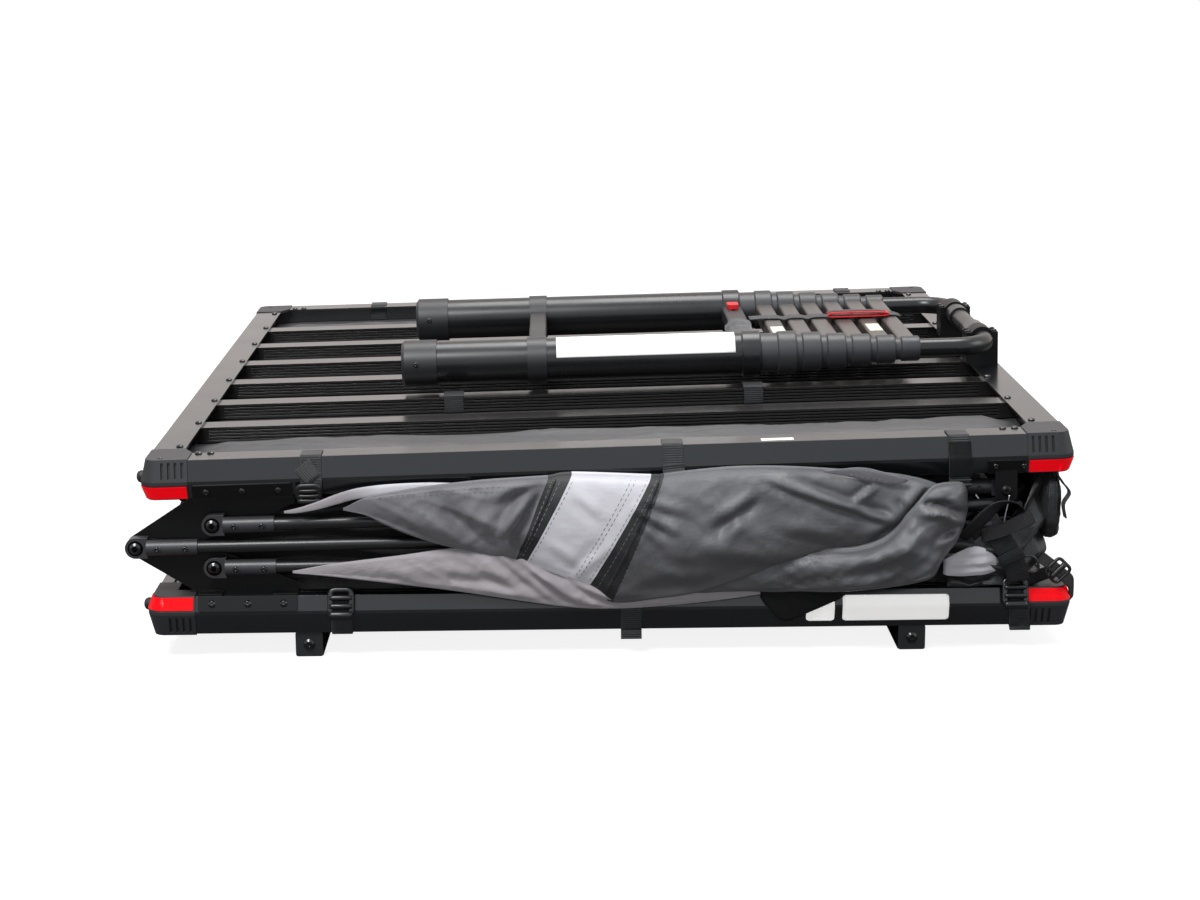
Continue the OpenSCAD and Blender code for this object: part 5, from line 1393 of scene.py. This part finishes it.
for side, label in SIDES:
    print(label, "cable", round(hanging_cable(side, label), 4), "m")
    end_strap(side, label)

# %% [markdown]
# ## Ladder tie
# A webbing tie lies over the closed steps and keeps them together. Near its end a flat pull loop with
# a red edge lies on it. The red edge is a second, slightly wider strip under a black one.

# %% Ladder tie
TIE_Z, TIE_Y = LADDER_Z + 0.012 + 0.0012, 0.030
COLLAR_2, COLLAR_PITCH, STEP_MID = 0.246, 0.0346, 0.0135
COLLAR_7 = COLLAR_2 + 5 * COLLAR_PITCH
PULL_L, Y_AXIS = 0.085, (0, 1, 0)


def tie_strap():
    """The tie, which dips between the steps, and the pull loop on it."""
    waves = [(COLLAR_2 - 0.020, 0.0), (COLLAR_2 + 0.005, 0.0010)]
    for k in range(6):
        mid = COLLAR_2 + STEP_MID + k * COLLAR_PITCH
        waves += [(mid - 0.008, 0.0006), (mid + 0.008, 0.0006), (mid + 0.0173, -0.0014)]
    waves = waves[:-1] + [(COLLAR_7 + 0.031, -0.002)]
    path = [(x + MID_X, TIE_Y + 0.0006 * math.sin(60 * x), TIE_Z + dz) for x, dz in waves]
    x1 = COLLAR_7 + 0.027 - 0.020
    x0, y = x1 - PULL_L, TIE_Y - 0.017
    upper = [(x0, 0.0045), (x0 + 0.003, 0.0078), (x0 + 0.02, 0.0088), (x1 - 0.02, 0.0084), (x1, 0.0068)]
    lower = [(x1, 0.0030), (x1 - 0.02, 0.0024), (x0 + 0.02, 0.0024), (x0 + 0.003, 0.0026), (x0, 0.0045)]
    loop = [(a + MID_X, y, TIE_Z + b) for a, b in upper + [(x1 + 0.004, 0.005)] + lower]
    inner = [(a + MID_X, y, TIE_Z + b + 0.0012) for a, b in upper]
    return join("ladder_tie", [ribbon("ladder_tie", path, Y_AXIS, STRAP_W + 0.005),
                               ribbon("pull_red", loop, Y_AXIS, 0.024, 0.0018, "red_webbing"),
                               ribbon("pull_black", inner, Y_AXIS, 0.013, 0.0012)])


ladder_tie = put(tie_strap(), "ladder_stage_7", tilt=True)
print("ladder tie", [round(v, 3) for v in ladder_tie.dimensions])

# %% [markdown]
# ## Plain films
# Pale films are stuck on the ladder tube, two steps and the rails. A film is a thin strip that follows
# the surface under it, with a rounded outline, so it catches one clean reflection. The two on the
# lower rail bend over its ridge. The white films also glow a little, which is painted light.

# %% Films
def tube_film(name, x0, x1, radius, y, z, low, high):
    """A film round part of a tube that runs along the fold."""
    xs, angles = np.linspace(x0, x1, 24), np.radians(np.linspace(low, high, 18))
    grid = [[(x + MID_X, y - radius * math.cos(a), z + radius * math.sin(a)) for a in angles] for x in xs]
    return cloth_grid(name, np.array(grid), ["label_white_painted_glow"], thick=0.0003)


def flat_film(name, centre, w, h, finish, radius=0.001):
    """A level film with rounded corners about its centre."""
    ring = [(centre[0] + a, centre[1] + b, centre[2]) for a, b in rounded_ring(w, h, radius, 6)]
    return thicken(make_piece(name, ring, [tuple(range(len(ring)))], [finish], smooth=False), 0.0004)


def rail_film(name, x, w, high, low=0.0085, radius=0.004):
    """A film that bends over the ridge of the lower rail, between two heights on its face."""
    ridge_low, ridge_high, top = 0.026, 0.030, 0.048
    rows = []
    for v in np.concatenate([np.linspace(low, ridge_low, 14), np.linspace(ridge_high, high, 12)]):
        lean = max((ridge_low - v) / ridge_low, (v - ridge_high) / (top - ridge_high), 0.0) * LEAN
        near = max(radius - min(v - low, high - v), 0.0)
        inset = radius - math.sqrt(max(radius ** 2 - near ** 2, 0.0))
        rows.append([(x + MID_X + a * (w / 2 - inset), -HALF_W - 0.0006 + lean, LOWER_OUT + v)
                     for a in np.linspace(-1, 1, 24)])
    return cloth_grid(name, np.array(rows).transpose(1, 0, 2), ["label_white_painted_glow"], thick=0.0004)


LADDER_Y, FILM_SLOT = 0.188, "black_plastic"
tube = tube_film("ladder_tube_film", -0.061, 0.187, 0.0303, -LADDER_Y, LADDER_Z, 14, 104)
films = [put(tube, "ladder_base", tilt=True)]
for k, label in ((2, "low"), (6, "high")):
    middle = (COLLAR_2 + STEP_MID + (k - 2) * COLLAR_PITCH + MID_X, -0.075, LADDER_Z + 0.0123)
    film = flat_film(f"step_film_{label}", middle, 0.019, 0.06, "label_cream")
    films.append(put(film, f"ladder_stage_{k}", tilt=True))
film = flat_film("upper_rail_film", (0.209 + MID_X, -HALF_W + 0.020, UPPER_OUT + 0.0003), 0.040, 0.011, "label_white_painted_glow")
films.append(put(film, "upper_half", tilt=True))
for label, x, w, high in (("long", 0.3549, 0.133, 0.0415), ("small", 0.2607, 0.0355, 0.0360)):
    films.append(put(rail_film(f"lower_rail_film_{label}", x, w, high), "lower_half"))
print("films:", [f.name for f in films])

# %% [markdown]
# ## Small parts of the ladder, the bows and the slats
# Close up, a few more things belong to the picture: a screw in each ladder foot, screws and washers on
# the bow ends, a padded wrap on the lowest sliding step, and the narrow grooves of the slats, which
# look black from every side. A thin matt strip at the bottom of each groove is painted shade: it keeps
# them black when light falls in from the front. A black disc of painted shade also fills the socket of
# each pivot bolt.

# %% Screws
def turned(name, place, normal, profile, finish, turns=24):
    """A turned part from (radius, height) pairs. A last radius of 0 closes it."""
    closed = profile[-1][0] == 0
    rings = profile[:-1] if closed else profile
    points = [(r * math.cos(2 * math.pi * k / turns), r * math.sin(2 * math.pi * k / turns), h)
              for r, h in rings for k in range(turns)]
    faces = tube_faces(len(rings), turns, capped=False)
    if closed:
        points.append((0, 0, profile[-1][1]))
        last = (len(rings) - 1) * turns
        faces += [(last + k, last + (k + 1) % turns, len(points) - 1) for k in range(turns)]
    part = make_piece(name, points, faces, [finish])
    part.data.transform(Matrix.Translation(place) @ Vector(normal).to_track_quat("Z", "Y").to_matrix().to_4x4())
    return part


DOME = [(1.0, 0.0), (1.0, 0.25), (0.93, 0.42), (0.75, 0.58), (0.52, 0.66), (0.46, 0.6), (0.44, 0.2), (0.0, 0.18)]
WASHER = [(0.0096, 0.0), (0.0096, 0.0005), (0.0090, 0.0008), (0.0072, 0.0008)]
SOCKET_SHADE_DISC = [(0.0036, 0.0), (0.0034, 0.0012), (0.0, 0.0012)]


def socket_screw(name, place, normal, radius):
    """A domed screw head with a socket, looking along its normal."""
    return turned(name, place, normal, [(r * radius, h * radius) for r, h in DOME], "bolt_black")


foot_low, foot_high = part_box("ladder_feet")
foot_x, foot_r = foot_low.x + 0.021, foot_high.y - LADDER_Y
foot_z = LADDER_Z + (foot_x - HINGE.x) * math.tan(TILT) + 0.004
for side, label in SIDES:
    for face, end in ((-1, "near"), (1, "far")):
        spot = (foot_x, side * LADDER_Y + face * foot_r - face * 0.0002, foot_z)
        put(socket_screw(f"{label}_foot_screw_{end}", spot, (0, face, 0.1), 0.0036), "ladder_base")

# Each bow end has two screws in its sleeve, and a black washer at its pivot bolt, whose socket holds a black disc of
# painted shade
SLEEVE_Y, WASHER_Y, SOCKET_SHADE_Y, SLEEVE_SCREWS = 0.6098, 0.6026, 0.6060, (0.0277, 0.0622)
for bow, share in (("lower", 0.25), ("middle", 0.5), ("upper", 0.75)):
    pivot = Vector(JOINTS[bow + "_bow_swing"]["pos_m"])
    for side, label in SIDES:
        out = (0, side, 0)
        places = [(pivot.x + d, side * SLEEVE_Y, pivot.z + share * TILT * d) for d in SLEEVE_SCREWS]
        parts = [socket_screw("sleeve_screw", place, out, 0.0038) for place in places]
        parts += [turned("pivot_part", (pivot.x, side * y, pivot.z), out, profile, "washer_black_and_painted_shade")
                  for y, profile in ((WASHER_Y, WASHER), (SOCKET_SHADE_Y, SOCKET_SHADE_DISC))]
        put(join(f"{label}_{bow}_bow_fasteners", parts), bow + "_bow")

# The plate of each entrance bracket is held by two screws on the leaning face of the rail
for side, label in SIDES:
    parts = [socket_screw("bracket_screw", (x, side * 0.6093, 0.2371), (0, side, -0.42), 0.0037)
             for x in (0.4860, 0.5210)]
    put(join(f"{label}_bracket_screws", parts), "upper_half")

# %% Step wrap
step_low, step_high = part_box("ladder_step_1")
step_mid = (step_low + step_high) / 2
WRAP_FROM, WRAP_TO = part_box("release_button_front")[1].y + 0.0125, 0.025
WRAP_AROUND, WRAP_LAST = 48, 39
wrap = np.empty((WRAP_AROUND + 1, WRAP_LAST + 1, 3))
for i in range(WRAP_AROUND + 1):
    a = 2 * math.pi * (i % WRAP_AROUND) / WRAP_AROUND
    for j in range(WRAP_LAST + 1):
        y = WRAP_FROM + (WRAP_TO - WRAP_FROM) * j / WRAP_LAST
        end = min(1.0, min(j, WRAP_LAST - j) / 3) ** 0.5
        lump = 1 + 0.16 * noise.noise(Vector((2 * math.cos(a), 2 * math.sin(a), y * 38))) * end
        w, h = 0.0128 + 0.0058 * end, 0.0125 + 0.0040 * end
        wrap[i, j] = (step_mid.x - 0.0015 + w * blunt(math.cos(a), 0.7) * lump, y,
                      step_mid.z + h * blunt(math.sin(a), 0.7) * lump)
step_wrap = put(cloth_grid("step_wrap", wrap, ["pad_cover"], thick=0, turn=True), "ladder_base")
print("step wrap", [round(v, 3) for v in step_wrap.dimensions])

# %% Groove strips of painted shade
# Each strip is a matt black sheet at the bottom of a slat groove, where there is only shade: painted shade.
GROOVES, GROOVE_PITCH, GROOVE_HALF, GROOVE_L = 4, 0.004, 0.0007, 0.520
SLAT_DEPTH = 0.003  # of a slat's outer face behind that of its frame
STRIP_FACES = ((0, 1, 2, 3), (7, 6, 5, 4), (0, 4, 5, 1), (1, 5, 6, 2), (2, 6, 7, 3), (3, 7, 4, 0))
for half in ("upper", "lower"):
    points, faces = [], []
    for k in range(SLATS):
        for face in (-1, 1):
            y = SLAT_FIRST + k * SLAT_PITCH + face * (SLAT_W / 2 - 0.0008)
            for groove in range(1, GROOVES + 1):
                depth = SLAT_DEPTH + groove * GROOVE_PITCH
                z = UPPER_OUT - depth if half == "upper" else LOWER_OUT + depth
                faces += [tuple(len(points) + c for c in f) for f in STRIP_FACES]
                points += [(MID_X + a * GROOVE_L, y + dy, z + b * GROOVE_HALF) for dy in (0, -face * 0.0002)
                           for a, b in ((-1, -1), (1, -1), (1, 1), (-1, 1))]
    strips = make_piece(half + "_slat_groove_shade", points, faces, ["washer_black_and_painted_shade"], smooth=False)
    put(strips, half + "_half", tilt=half == "upper")
    print(strips.name, len(faces) // len(STRIP_FACES), "strips")
